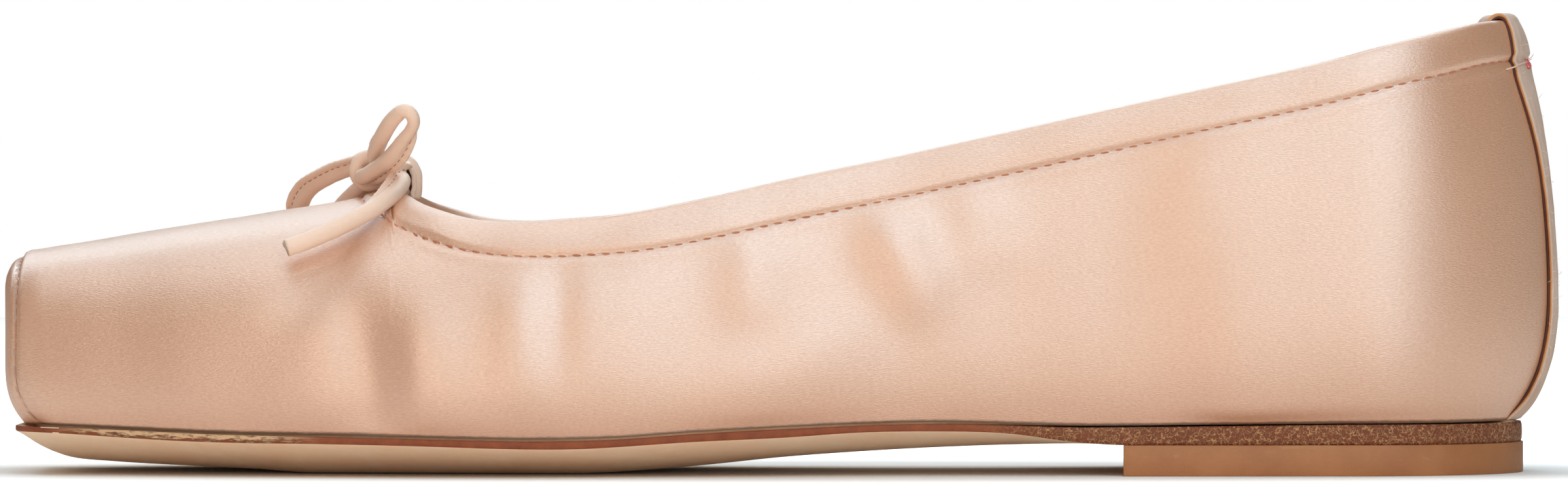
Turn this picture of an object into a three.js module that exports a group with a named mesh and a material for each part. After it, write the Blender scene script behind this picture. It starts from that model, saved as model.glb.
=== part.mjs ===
// Ballet flat for the left foot: a satin upper with a square toe on a thin leather sole and a low heel,
// a leather strip down the back and a bow of rolled leather cord at the throat.
// Millimetres. X runs from toe (-) to heel (+), Y from outer side (-) to inner side (+), Z up from the floor.
import * as THREE from "three";
import { mergeVertices } from "three/addons/utils/BufferGeometryUtils.js";

// Driving sizes
const TOE_FRONT = -124.5;
const UPPER_WALL = 1.6;
const SEAT_GAP = 0.3;
const OUTER = -1;
const INNER = 1;
// Moves the last sideways so that the whole shoe is centred over the origin
const AXIS_SHIFT = 0.75;

// Toe: square, with a seam round its front panel
const TOE_BOW = 1;
const TOE_BOW_HALF_WIDTH = 18;
const TOE_CORNER = 6;
const TOE_CORNER_FRONT = TOE_FRONT + 1.3;
const TOE_BROW = 5;
const SEAM_SETBACK = 2.85;
const SEAM_X = TOE_FRONT + SEAM_SETBACK;
const SEAM_DEPTH = 0.4;
const SEAM_REACH = 0.3;
const PANEL_ROUNDING = 4.4;
const PANEL_RING = 2;
const SEAM_TUCK = 4;
const FRONT_TUCK = 3;
const TUCK_END_X = -104;

// Heel: a round fan of columns about an upright line
const HEEL_CENTRE_X = 90;
const HEEL_BACK_RADIUS = 27.8;
const HEEL_BACK_SWELL = 5.85;

// Topline and its stitched casing
const THROAT_X = -61.5;
const CASING_WIDTH = 6.8;
const CASING_STEP = 0.35;
const CASING_RAMP = 0.6;

// Leather strip down the back
const STRIP_THICKNESS = 1;
const STRIP_HALF_WIDTH = 12.5;
const STRIP_ROUNDING = 0.93;
const STRIP_FOOT_RISE = 1;
const STRIP_TURN_IN = 9;
const STRIP_INSIDE_GAP = 0.65;

// Bow of rolled leather cord
const CORD_DIAMETER = 2.8;
const KNOT_CENTRE = { x: -66.3, y: 0, z: 48.1 };
const KNOT_RADIUS = 3.2;
const KNOT_HALF_WIDTH = 2.8;
const KNOT_ROUND = 1.4;

// Sole, insole and heel lift
const SOLE_THICKNESS = 2.6;
const SOLE_LIP = 0.5;
const SOLE_FRONT = -121.9;
const SOLE_CORNER = 7;
const FLAT_SHARE = 0.28;
const INSOLE_INSET = 2.3;
const INSOLE_THICKNESS = 1.2;
const HEEL_HEIGHT = 4.9;
const HEEL_BREAST_X = 53.5;
const HEEL_FLARE = 0.3;
const LIFT_GAP = 0.05;

// Mesh steps
const FRONT_STEPS = 13;
const SIDE_STEPS = 25;
const HEEL_STEPS = 10;
const BODY_ROWS = 8;
const CORNER_ROW = 5;
const ROW_GRADING = 1.3;
const FRONT_GRADING = 1.4;
const THROAT_GRADING = 1.8;
const THROAT_GRADING_END = 0.4;
const PLATE_GRADING = 1.25;
const WELD_REACH = 1e-3;
const CURVE_SAMPLES = 120;
const OUTSOLE_STEPS = 34;
const OUTSOLE_SHARES = [0, FLAT_SHARE, 0.5, 0.7, 0.87, 1];
const INSOLE_STEPS = 22;
const INSOLE_SHARES = [0, FLAT_SHARE, 0.65, 1];
const LIFT_STEPS = 5;
const LIFT_SHARES = [0, 1];
const CORD_SIDES = 8;
const CORD_STEP = 2.5;
const KNOT_SIDES = 14;
const STRIP_COLUMNS = 8;
const STRIP_ROWS = 12;
const STRIP_FOLD_STEPS = 5;

// The last, a row for each section: half widths and height of the feather edge, height of the ridge of
// the closed form, how far the wall swells past the edge and over what height, and how square it is
const LAST = [
  { x: -125, outer: 21.7, inner: 24.3, edge: 8.2, crown: 34.7, swell: 1.6, turn: 10, square: 3.4 },
  { x: -107, outer: 27.0, inner: 30.2, edge: 7.7, crown: 37.6, swell: 2.0, turn: 10, square: 3.3 },
  { x: -88, outer: 32.4, inner: 34.9, edge: 7.0, crown: 40.6, swell: 2.3, turn: 11, square: 3.1 },
  { x: -69, outer: 36.4, inner: 37.2, edge: 6.7, crown: 43.6, swell: 2.5, turn: 12, square: 2.9 },
  { x: -51, outer: 38.5, inner: 36.6, edge: 6.3, crown: 46.6, swell: 2.6, turn: 12, square: 2.7 },
  { x: -39, outer: 38.6, inner: 34.8, edge: 6.1, crown: 49.4, swell: 2.6, turn: 12, square: 2.7 },
  { x: -26, outer: 37.6, inner: 31.9, edge: 6.4, crown: 53.4, swell: 2.5, turn: 13, square: 2.7 },
  { x: -14, outer: 35.8, inner: 29.0, edge: 7.2, crown: 57.8, swell: 2.4, turn: 13, square: 2.7 },
  { x: 0, outer: 33.2, inner: 26.4, edge: 7.9, crown: 63.5, swell: 2.4, turn: 14, square: 2.7 },
  { x: 23, outer: 29.6, inner: 24.4, edge: 8.6, crown: 73, swell: 2.6, turn: 16, square: 2.7 },
  { x: 48, outer: 27.6, inner: 25.4, edge: 8.0, crown: 83, swell: 3.0, turn: 18, square: 2.8 },
  { x: 70, outer: 27.0, inner: 26.4, edge: 8.2, crown: 88.5, swell: 3.6, turn: 21, square: 2.8 },
  { x: 90, outer: 26.6, inner: 26.6, edge: 8.4, crown: 90.5, swell: 4.2, turn: 24, square: 2.8 },
];

// Height of the topline, a row for each place along the shoe
const TOPLINE = [
  { x: -61.5, z: 44.7 },
  { x: -59.4, z: 43.7 },
  { x: -57, z: 42.4 },
  { x: -54.7, z: 41.6 },
  { x: -50, z: 40.6 },
  { x: -45, z: 40.1 },
  { x: -41, z: 40.0 },
  { x: -33, z: 40.6 },
  { x: -24.5, z: 41.5 },
  { x: -12, z: 43.9 },
  { x: 0, z: 46.7 },
  { x: 21, z: 51.1 },
  { x: 62, z: 60.2 },
  { x: 85, z: 65.2 },
  { x: 98, z: 68.5 },
  { x: 110, z: 70.9 },
  { x: 118, z: 71.2 },
];

// Underside of the sole, a row for each section: lower line of its edge and height of its middle
const SOLE = [
  { x: -121.9, rim: 6.9, tread: 6.6 },
  { x: -118.8, rim: 6.85, tread: 4.4 },
  { x: -114, rim: 6.7, tread: 2.5 },
  { x: -107, rim: 6.3, tread: 1.75 },
  { x: -96, rim: 5.7, tread: 1.15 },
  { x: -84, rim: 5.4, tread: 0.6 },
  { x: -75, rim: 5.35, tread: 0 },
  { x: -60, rim: 5.1, tread: 0 },
  { x: -39, rim: 4.55, tread: 0 },
  { x: -32, rim: 4.6, tread: 0 },
  { x: -14, rim: 5.65, tread: 1.2 },
  { x: 0, rim: 6.25, tread: 2.6 },
  { x: 12, rim: 7.0, tread: 3.45 },
  { x: 23, rim: 7.15, tread: 4.05 },
  { x: 35, rim: 6.8, tread: 4.5 },
  { x: 46, rim: 5.4, tread: 4.75 },
  { x: 53.5, rim: 4.9, tread: 4.9 },
];

// Routes of the bow's cord, out of the knot and back or to a free end
const LOOP_OUTER = [
  { x: -67.0, y: -3.3, z: 46.9 },
  { x: -65.9, y: -8.0, z: 47.3 },
  { x: -63.6, y: -12.0, z: 48.7 },
  { x: -61.5, y: -16.0, z: 50.6 },
  { x: -59.7, y: -19.8, z: 53.1 },
  { x: -58.5, y: -22.4, z: 55.6 },
  { x: -59.0, y: -23.4, z: 57.2 },
  { x: -60.3, y: -22.6, z: 57.5 },
  { x: -62.0, y: -20.0, z: 56.2 },
  { x: -63.6, y: -15.6, z: 54.1 },
  { x: -64.7, y: -10.6, z: 52.4 },
  { x: -65.3, y: -6.2, z: 51.4 },
  { x: -65.4, y: -3.4, z: 50.5 },
];
const LOOP_INNER = [
  { x: -66.7, y: 3.7, z: 49.5 },
  { x: -67.5, y: 5.4, z: 49.4 },
  { x: -69.0, y: 7.0, z: 49.1 },
  { x: -70.8, y: 9.0, z: 48.6 },
  { x: -72.8, y: 11.6, z: 47.9 },
  { x: -74.9, y: 14.4, z: 46.9 },
  { x: -76.8, y: 17.4, z: 45.8 },
  { x: -78.4, y: 20.6, z: 44.1 },
  { x: -79.2, y: 24.0, z: 42.0 },
  { x: -78.4, y: 27.2, z: 40.3 },
  { x: -75.8, y: 28.5, z: 39.9 },
  { x: -73.2, y: 27.0, z: 41.0 },
  { x: -71.2, y: 23.6, z: 42.8 },
  { x: -69.6, y: 19.2, z: 44.1 },
  { x: -68.2, y: 14.4, z: 45.2 },
  { x: -67.2, y: 9.2, z: 45.9 },
  { x: -66.7, y: 3.5, z: 46.2 },
];
const TAIL_OUTER = [
  { x: -64.0, y: -3.4, z: 47.8 },
  { x: -61.7, y: -5.2, z: 48.4 },
  { x: -61.0, y: -9.0, z: 47.5 },
  { x: -61.4, y: -15.1, z: 45.8 },
  { x: -62.6, y: -20.5, z: 44.2 },
  { x: -64.3, y: -24.3, z: 42.7 },
  { x: -66.7, y: -27.0, z: 41.2 },
  { x: -69.5, y: -29.1, z: 39.7 },
  { x: -72.7, y: -30.6, z: 38.2 },
  { x: -75.7, y: -31.4, z: 37.0 },
  { x: -78.2, y: -31.9, z: 36.1 },
];
const TAIL_INNER = [
  { x: -64.0, y: 3.4, z: 47.8 },
  { x: -61.7, y: 5.2, z: 48.4 },
  { x: -61.0, y: 9.0, z: 47.6 },
  { x: -61.4, y: 15.0, z: 46.1 },
  { x: -62.6, y: 20.5, z: 44.6 },
  { x: -64.3, y: 24.6, z: 43.0 },
  { x: -66.7, y: 27.6, z: 41.4 },
  { x: -69.5, y: 29.9, z: 39.8 },
  { x: -72.7, y: 31.7, z: 38.3 },
  { x: -75.7, y: 32.7, z: 37.0 },
  { x: -78.2, y: 33.3, z: 36.1 },
];
const WRAP = [
  { x: -62.6, y: 0.0, z: 49.2 },
  { x: -60.6, y: 0.0, z: 49.4 },
  { x: -59.5, y: 0.0, z: 48.0 },
  { x: -59.2, y: 0.0, z: 46.0 },
  { x: -59.5, y: 0.0, z: 43.7 },
];

// A smooth function through the rows of a table, giving every column at x
function smoothTable(rows, columns) {
  const places = rows.map((row) => row.x);
  const values = rows.flatMap((row) => columns.map((column) => row[column]));
  const curve = new THREE.CubicInterpolant(places, values, columns.length, new Float64Array(columns.length));
  curve.settings = { endingStart: THREE.ZeroCurvatureEnding, endingEnd: THREE.ZeroSlopeEnding };
  const first = places[0];
  const last = places[places.length - 1];
  return (x) => {
    const found = curve.evaluate(THREE.MathUtils.clamp(x, first, last));
    return Object.fromEntries(columns.map((column, index) => [column, found[index]]));
  };
}

const lastAt = smoothTable(LAST, ["outer", "inner", "edge", "crown", "swell", "turn", "square"]);
const toplineAt = smoothTable(TOPLINE, ["z"]);
const soleAt = smoothTable(SOLE, ["rim", "tread"]);

// How far a round corner of this radius cuts in at x, behind a front that lies across the shoe
function cornerInset(x, front, radius) {
  const into = THREE.MathUtils.clamp(front + radius - x, 0, radius);
  return radius - Math.sqrt(radius * radius - into * into);
}

// The upright plane of one column of the upper: where it starts, which way it faces and its sizes
function sidePlane(x, side) {
  const section = lastAt(x);
  const fade = THREE.MathUtils.clamp((TUCK_END_X - x) / (TUCK_END_X - SEAM_X), 0, 1);
  return {
    centre: new THREE.Vector2(x, (section.inner - section.outer) / 2 + AXIS_SHIFT),
    out: new THREE.Vector2(0, side),
    foot: (section.inner + section.outer) / 2 - cornerInset(x, TOE_CORNER_FRONT, TOE_CORNER),
    edge: section.edge,
    height: section.crown - section.edge - cornerInset(x, TOE_FRONT, TOE_BROW),
    swell: section.swell,
    turn: section.turn,
    square: section.square,
    tuck: SEAM_TUCK * fade * fade,
  };
}

// The same for a column of the heel: its angle is 0 at the side of the shoe and a right angle at its back
function heelPlane(angle, side) {
  const plane = sidePlane(HEEL_CENTRE_X, side);
  const toBack = Math.sin(angle) ** 2;
  plane.out.set(Math.sin(angle), side * Math.cos(angle));
  plane.foot = THREE.MathUtils.lerp(plane.foot, HEEL_BACK_RADIUS, toBack);
  plane.swell = THREE.MathUtils.lerp(plane.swell, HEEL_BACK_SWELL, toBack);
  return plane;
}

// Reach from the centre line and rise over the feather edge at a bend from 0 (edge) to a right angle (ridge)
function profilePoint(plane, bend) {
  const power = 2 / plane.square;
  const rise = plane.height * Math.sin(bend) ** power;
  const under = Math.max(0, 1 - rise / plane.turn) ** 3;
  const reach = (plane.foot + plane.swell) * Math.max(0, Math.cos(bend)) ** power - plane.swell * under;
  return { reach, rise, under };
}

function planePoint(plane, bend) {
  const { reach, rise, under } = profilePoint(plane, bend);
  return new THREE.Vector3(
    plane.centre.x + plane.out.x * reach + plane.tuck * under,
    plane.centre.y + plane.out.y * reach,
    plane.edge + rise,
  );
}

// The bend at which a column reaches this height
function bendAtHeight(plane, z) {
  const share = THREE.MathUtils.clamp((z - plane.edge) / plane.height, 0, 1);
  return Math.asin(share ** (plane.square / 2));
}

// Distances up a column at which its points sit; the top rows bound the casing
function rowDistances(length) {
  const body = length - CASING_WIDTH - CASING_RAMP / 2;
  const rows = Array.from({ length: BODY_ROWS + 1 }, (_, row) => body * (row / BODY_ROWS) ** ROW_GRADING);
  return [...rows, length - CASING_WIDTH + CASING_RAMP / 2, length - CASING_WIDTH / 2, length];
}

function pointsAtRows(samples) {
  const reached = [0];
  for (let index = 1; index < samples.length; index += 1) {
    reached.push(reached[index - 1] + samples[index].distanceTo(samples[index - 1]));
  }
  let index = 1;
  return rowDistances(reached[reached.length - 1]).map((distance) => {
    while (index < samples.length - 1 && reached[index] < distance) index += 1;
    const part = (distance - reached[index - 1]) / (reached[index] - reached[index - 1]);
    return samples[index - 1].clone().lerp(samples[index], Math.min(1, part));
  });
}

// One column of the upper over the side of the shoe, from x at its foot to x at its top
function sideColumn(footX, topX, side) {
  const topPlane = sidePlane(topX, side);
  const open = topX > THROAT_X;
  const topBend = open ? bendAtHeight(topPlane, toplineAt(topX).z) : Math.PI / 2;
  const samples = [];
  for (let step = 0; step <= CURVE_SAMPLES; step += 1) {
    const part = step / CURVE_SAMPLES;
    samples.push(planePoint(sidePlane(THREE.MathUtils.lerp(footX, topX, part), side), topBend * part));
  }
  return pointsAtRows(samples);
}

function heelColumn(angle, side) {
  const plane = heelPlane(angle, side);
  const topX = HEEL_CENTRE_X + HEEL_BACK_RADIUS * Math.sin(angle);
  const topBend = bendAtHeight(plane, toplineAt(topX).z);
  const samples = [];
  for (let step = 0; step <= CURVE_SAMPLES; step += 1) {
    samples.push(planePoint(plane, (topBend * step) / CURVE_SAMPLES));
  }
  return pointsAtRows(samples);
}

// Every column of one side, from the toe seam to the middle of the back
function columnsOfSide(side) {
  const columns = [];
  for (let step = 0; step < FRONT_STEPS; step += 1) {
    const x = THREE.MathUtils.lerp(SEAM_X, THROAT_X, (step / FRONT_STEPS) ** FRONT_GRADING);
    columns.push(sideColumn(x, x, side));
  }
  for (let step = 0; step < SIDE_STEPS; step += 1) {
    const part = step / SIDE_STEPS;
    const even = THREE.MathUtils.smoothstep(part, 0, THROAT_GRADING_END);
    const topPart = THREE.MathUtils.lerp(part ** THROAT_GRADING, part, even);
    const footX = THREE.MathUtils.lerp(THROAT_X, HEEL_CENTRE_X, part);
    columns.push(sideColumn(footX, THREE.MathUtils.lerp(THROAT_X, HEEL_CENTRE_X, topPart), side));
  }
  for (let step = 0; step <= HEEL_STEPS; step += 1) {
    columns.push(heelColumn((Math.PI / 2) * (step / HEEL_STEPS), side));
  }
  return columns;
}

// Distance from a point to a line of points, measured by the given axes
function distanceToLine(point, line, flatten) {
  const segment = new THREE.Line3();
  const nearest = new THREE.Vector3();
  const from = flatten(point);
  let best = Infinity;
  for (let index = 1; index < line.length; index += 1) {
    segment.set(flatten(line[index - 1]), flatten(line[index]));
    segment.closestPointToPoint(from, true, nearest);
    best = Math.min(best, nearest.distanceTo(from));
  }
  return best;
}

const keepAll = (point) => point;
const acrossOnly = (point) => new THREE.Vector3(0, point.y, point.z);

// Where the front of the toe lies at a point of the panel: fullest in its middle, rounded back to the seam
// at its sides and top and tucked under at its foot
function panelFront(point, seam) {
  const { centre, edge, turn } = sidePlane(SEAM_X, OUTER);
  const front = TOE_FRONT + TOE_BOW * ((point.y - centre.y) / TOE_BOW_HALF_WIDTH) ** 2;
  const inside = Math.min(PANEL_ROUNDING, distanceToLine(point, seam, acrossOnly));
  const turnIn = 1 - inside / PANEL_ROUNDING;
  const round = (distance) => TOE_CORNER - Math.sqrt(TOE_CORNER ** 2 - distance ** 2);
  const back = round(PANEL_ROUNDING * turnIn) / round(PANEL_ROUNDING);
  const under = Math.max(0, 1 - (point.z - edge) / turn) ** 3;
  return THREE.MathUtils.lerp(front, SEAM_X, back) + THREE.MathUtils.lerp(FRONT_TUCK, SEAM_TUCK, back) * under;
}

// The seam's line moved in towards the middle of the panel
function ringInside(seam) {
  return seam.map((place, index) => {
    const before = seam[Math.max(0, index - 1)];
    const after = seam[Math.min(seam.length - 1, index + 1)];
    const along = acrossOnly(after).sub(acrossOnly(before)).normalize();
    const isFoot = index === 0 || index === seam.length - 1;
    const down = isFoot ? 0 : along.y * PANEL_RING;
    return new THREE.Vector3(place.x, place.y + along.z * PANEL_RING, place.z - down);
  });
}

// The front toe panel: a ring inside the seam and a grid stretched over the rest
function toePanel(outerSeam, innerSeam) {
  const seam = [...outerSeam, ...innerSeam.slice(0, -1).reverse()];
  const ring = ringInside(seam);
  const outerRing = ring.slice(0, outerSeam.length);
  const innerRing = ring.slice(outerSeam.length - 1).reverse();
  const top = ring.slice(CORNER_ROW, ring.length - CORNER_ROW);
  const columnCount = top.length - 1;
  const grid = [];
  for (let column = 0; column <= columnCount; column += 1) {
    const across = column / columnCount;
    const foot = outerRing[0].clone().lerp(innerRing[0], across);
    const cornerTop = outerRing[CORNER_ROW].clone().lerp(innerRing[CORNER_ROW], across);
    const points = [];
    for (let row = 0; row <= CORNER_ROW; row += 1) {
      const up = row / CORNER_ROW;
      const bySides = outerRing[row].clone().lerp(innerRing[row], across);
      const byEnds = foot.clone().lerp(top[column], up);
      const point = bySides.add(byEnds).sub(foot.clone().lerp(cornerTop, up));
      point.x = panelFront(point, seam);
      points.push(point);
    }
    grid.push(points);
  }
  for (const point of ring) point.x = panelFront(point, seam);
  return [...gridTriangles([seam, ring], true), ...gridTriangles(grid, true)];
}

// Two triangles for each cell of a grid of points, facing so that column, then row, turns outwards
function gridTriangles(grid, flip) {
  const triangles = [];
  for (let column = 1; column < grid.length; column += 1) {
    for (let row = 1; row < grid[column].length; row += 1) {
      const a = grid[column - 1][row - 1];
      const b = grid[column][row - 1];
      const c = grid[column][row];
      const d = grid[column - 1][row];
      triangles.push(...(flip ? [a, c, b, a, d, c] : [a, b, c, a, c, d]));
    }
  }
  return triangles;
}

// One indexed geometry from a list of corners, three to a triangle, without the empty triangles
function weld(corners) {
  const loose = new THREE.BufferGeometry().setFromPoints(corners);
  const welded = mergeVertices(loose, WELD_REACH);
  const index = welded.getIndex().array;
  const kept = [];
  for (let at = 0; at < index.length; at += 3) {
    const [a, b, c] = [index[at], index[at + 1], index[at + 2]];
    if (a !== b && b !== c && c !== a) kept.push(a, b, c);
  }
  welded.setIndex(kept);
  return welded;
}

// A closed shell from an open skin: every point gets an outer and an inner place along its normal, and
// the free edges are joined across
function thicken(corners, outwards, inwards) {
  const skin = weld(corners);
  skin.computeVertexNormals();
  const places = skin.getAttribute("position");
  const normals = skin.getAttribute("normal");
  const triangles = skin.getIndex().array;
  const outer = [];
  const inner = [];
  for (let index = 0; index < places.count; index += 1) {
    const place = new THREE.Vector3().fromBufferAttribute(places, index);
    const normal = new THREE.Vector3().fromBufferAttribute(normals, index);
    outer.push(place.clone().addScaledVector(normal, outwards(place)));
    inner.push(place.clone().addScaledVector(normal, -inwards));
  }
  const edges = new Set();
  for (let at = 0; at < triangles.length; at += 3) {
    for (let corner = 0; corner < 3; corner += 1) {
      edges.add(`${triangles[at + corner]},${triangles[at + ((corner + 1) % 3)]}`);
    }
  }
  const shell = [];
  for (let at = 0; at < triangles.length; at += 3) {
    const [a, b, c] = [triangles[at], triangles[at + 1], triangles[at + 2]];
    shell.push(outer[a], outer[b], outer[c], inner[a], inner[c], inner[b]);
  }
  for (const edge of edges) {
    const [a, b] = edge.split(",").map(Number);
    if (!edges.has(`${b},${a}`)) shell.push(outer[b], outer[a], inner[a], outer[b], inner[a], inner[b]);
  }
  return weld(shell);
}

function named(name, geometry) {
  geometry.deleteAttribute("normal");
  geometry.computeVertexNormals();
  const mesh = new THREE.Mesh(geometry);
  mesh.name = name;
  return mesh;
}

// Upper: both sides and the toe panel as one hollow wall
function makeUpper() {
  const outerSide = columnsOfSide(OUTER);
  const innerSide = columnsOfSide(INNER);
  const topline = [
    ...outerSide.slice(FRONT_STEPS).map((column) => column[column.length - 1]).reverse(),
    ...innerSide.slice(FRONT_STEPS + 1).map((column) => column[column.length - 1]),
  ];
  const seam = [...outerSide[0], ...innerSide[0].slice(0, -1).reverse()];
  const skin = [
    ...gridTriangles(outerSide, false),
    ...gridTriangles(innerSide, true),
    ...toePanel(outerSide[0], innerSide[0]),
  ];
  const lift = (point) => {
    const fromTopline = distanceToLine(point, topline, keepAll);
    const half = CASING_RAMP / 2;
    const casing = 1 - THREE.MathUtils.smoothstep(fromTopline, CASING_WIDTH - half, CASING_WIDTH + half);
    const onSeam = seam.some((place) => place.distanceTo(point) < SEAM_REACH);
    return casing * CASING_STEP - (onSeam ? SEAM_DEPTH : 0);
  };
  return named("upper", thicken(skin, lift, UPPER_WALL));
}

// Stations of a plate that follows the sole: planes along the shoe, then a fan round the heel
function plateStations(side, frontX, steps) {
  const stations = [];
  for (let step = 0; step < steps; step += 1) {
    const part = (step / steps) ** PLATE_GRADING;
    stations.push(sidePlane(THREE.MathUtils.lerp(frontX, HEEL_CENTRE_X, part), side));
  }
  for (let step = 0; step <= HEEL_STEPS; step += 1) {
    stations.push(heelPlane((Math.PI / 2) * (step / HEEL_STEPS), side));
  }
  return stations;
}

// A closed plate under the foot: `reach` is its half width in a plane, `top` and `bottom` its heights at a
// share of that half width
function plate(frontX, steps, shares, reach, top, bottom) {
  const corners = [];
  for (const side of [OUTER, INNER]) {
    const stations = plateStations(side, frontX, steps);
    const surface = (height) =>
      stations.map((plane) =>
        shares.map((share) => {
          const distance = reach(plane) * share;
          const x = plane.centre.x + plane.out.x * distance;
          return new THREE.Vector3(x, plane.centre.y + plane.out.y * distance, height(plane, share));
        }),
      );
    const upperFace = surface(top);
    const lowerFace = surface(bottom);
    const rim = upperFace.map((points, index) => [lowerFace[index][points.length - 1], points[points.length - 1]]);
    const front = upperFace[0].map((point, index) => [lowerFace[0][index], point]);
    const flip = side === INNER;
    corners.push(...gridTriangles(upperFace, !flip), ...gridTriangles(lowerFace, flip));
    corners.push(...gridTriangles(rim, flip), ...gridTriangles(front, flip));
  }
  return weld(corners);
}

// How far a section has turned up from its flat middle to its rim, 0 to 1
function turnUp(share) {
  return Math.max(0, (share - FLAT_SHARE) / (1 - FLAT_SHARE)) ** 2;
}

function soleHalfWidth(plane) {
  const squared = plane.foot + cornerInset(plane.centre.x, TOE_CORNER_FRONT, TOE_CORNER);
  return squared + SOLE_LIP - cornerInset(plane.centre.x, SOLE_FRONT, SOLE_CORNER);
}

function soleUnderside(plane, share) {
  const x = plane.centre.x;
  if (x >= HEEL_BREAST_X) return HEEL_HEIGHT;
  const { rim, tread } = soleAt(x);
  return THREE.MathUtils.lerp(Math.max(0, tread), rim, turnUp(share));
}

function soleTop(plane, share) {
  const rim = plane.edge - SEAT_GAP;
  const middle = Math.min(rim, soleUnderside(plane, 0) + SOLE_THICKNESS);
  return THREE.MathUtils.lerp(middle, rim, turnUp(share));
}

function makeOutsole() {
  return named("outsole", plate(SOLE_FRONT, OUTSOLE_STEPS, OUTSOLE_SHARES, soleHalfWidth, soleTop, soleUnderside));
}

function makeInsole() {
  const frontX = SOLE_FRONT + SOLE_LIP + INSOLE_INSET;
  const reach = (plane) => {
    const corner = cornerInset(plane.centre.x, frontX, SOLE_CORNER);
    return soleHalfWidth(plane) - SOLE_LIP - INSOLE_INSET - corner;
  };
  const under = (plane, share) => soleTop(plane, (share * reach(plane)) / soleHalfWidth(plane)) + SEAT_GAP;
  const top = (plane, share) => under(plane, share) + INSOLE_THICKNESS;
  return named("insole", plate(frontX, INSOLE_STEPS, INSOLE_SHARES, reach, top, under));
}

function makeHeelLift() {
  const reach = (plane) => soleHalfWidth(plane) + HEEL_FLARE;
  const top = () => HEEL_HEIGHT - LIFT_GAP;
  return named("heel_lift", plate(HEEL_BREAST_X, LIFT_STEPS, LIFT_SHARES, reach, top, () => 0));
}

// The strip's side that lies on the upper, as places out from the heel's centre line and up: outside from
// the sole to the topline, over it in a half round and a little way down inside
function stripPath() {
  const plane = heelPlane(Math.PI / 2, OUTER);
  const topBend = bendAtHeight(plane, toplineAt(HEEL_CENTRE_X + HEEL_BACK_RADIUS).z);
  const wall = [];
  for (let step = 0; step <= CURVE_SAMPLES; step += 1) {
    const { reach, rise } = profilePoint(plane, (topBend * step) / CURVE_SAMPLES);
    wall.push(new THREE.Vector2(reach, plane.edge + rise));
  }
  const curve = new THREE.SplineCurve(wall);
  const length = curve.getLength();
  const along = (distance, offset) => {
    const share = THREE.MathUtils.clamp(distance / length, 0, 1);
    const tangent = curve.getTangentAt(share);
    return curve.getPointAt(share).add(new THREE.Vector2(tangent.y, -tangent.x).multiplyScalar(offset));
  };
  const path = [];
  for (let row = 0; row <= STRIP_ROWS; row += 1) {
    const distance = THREE.MathUtils.lerp(STRIP_FOOT_RISE, length, row / STRIP_ROWS);
    path.push(along(distance, SEAT_GAP + CASING_STEP));
  }
  const outside = along(length, SEAT_GAP + CASING_STEP);
  const inside = along(length, -UPPER_WALL - STRIP_INSIDE_GAP);
  const middle = outside.clone().lerp(inside, 0.5);
  for (let step = 1; step < STRIP_FOLD_STEPS; step += 1) {
    path.push(outside.clone().rotateAround(middle, (Math.PI * step) / STRIP_FOLD_STEPS));
  }
  for (const distance of [0, STRIP_TURN_IN / 2, STRIP_TURN_IN]) {
    path.push(along(length - distance, -UPPER_WALL - STRIP_INSIDE_GAP));
  }
  return path;
}

// The path swept across the heel, which is a little narrower than a circle there
function makeBackStrip() {
  const centre = heelPlane(Math.PI / 2, OUTER).centre;
  const path = stripPath();
  const grid = [];
  for (let column = 0; column <= STRIP_COLUMNS; column += 1) {
    const across = STRIP_HALF_WIDTH * ((2 * column) / STRIP_COLUMNS - 1);
    grid.push(path.map((place) => {
      const back = Math.sqrt(place.x ** 2 - (across / STRIP_ROUNDING) ** 2);
      return new THREE.Vector3(centre.x + back, centre.y + across, place.y);
    }));
  }
  return named("back_strip", thicken(gridTriangles(grid, false), () => STRIP_THICKNESS, 0));
}

function cord(name, route) {
  const line = new THREE.CatmullRomCurve3(route.map((place) => new THREE.Vector3(place.x, place.y, place.z)));
  const radius = CORD_DIAMETER / 2;
  const ring = [];
  for (let corner = 0; corner < CORD_SIDES; corner += 1) {
    const angle = (2 * Math.PI * corner) / CORD_SIDES;
    ring.push(new THREE.Vector2(radius * Math.cos(angle), radius * Math.sin(angle)));
  }
  const steps = Math.round(line.getLength() / CORD_STEP);
  const tube = new THREE.ExtrudeGeometry(new THREE.Shape(ring), { steps, bevelEnabled: false, extrudePath: line });
  tube.deleteAttribute("normal");
  tube.deleteAttribute("uv");
  return named(name, mergeVertices(tube, WELD_REACH));
}

// The knot is a rounded barrel lying across the shoe
function makeKnot() {
  const flat = KNOT_RADIUS - KNOT_ROUND;
  const straight = KNOT_HALF_WIDTH - KNOT_ROUND;
  const outline = [
    new THREE.Vector2(0, -KNOT_HALF_WIDTH),
    new THREE.Vector2(flat, -KNOT_HALF_WIDTH),
    new THREE.Vector2(KNOT_RADIUS, -straight),
    new THREE.Vector2(KNOT_RADIUS, straight),
    new THREE.Vector2(flat, KNOT_HALF_WIDTH),
    new THREE.Vector2(0, KNOT_HALF_WIDTH),
  ];
  const barrel = new THREE.LatheGeometry(outline, KNOT_SIDES).toNonIndexed();
  barrel.translate(KNOT_CENTRE.x, KNOT_CENTRE.y, KNOT_CENTRE.z);
  const places = barrel.getAttribute("position");
  const corners = [];
  for (let index = 0; index < places.count; index += 1) {
    corners.push(new THREE.Vector3().fromBufferAttribute(places, index));
  }
  return named("bow_knot", weld(corners));
}

const shoe = new THREE.Group();
shoe.name = "ballet_flat";
shoe.add(makeUpper(), makeBackStrip(), makeInsole(), makeOutsole(), makeHeelLift());
shoe.add(makeKnot(), cord("bow_loop_outer", LOOP_OUTER), cord("bow_loop_inner", LOOP_INNER));
shoe.add(cord("bow_tail_outer", TAIL_OUTER), cord("bow_tail_inner", TAIL_INNER), cord("bow_wrap", WRAP));
export default shoe;
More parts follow.
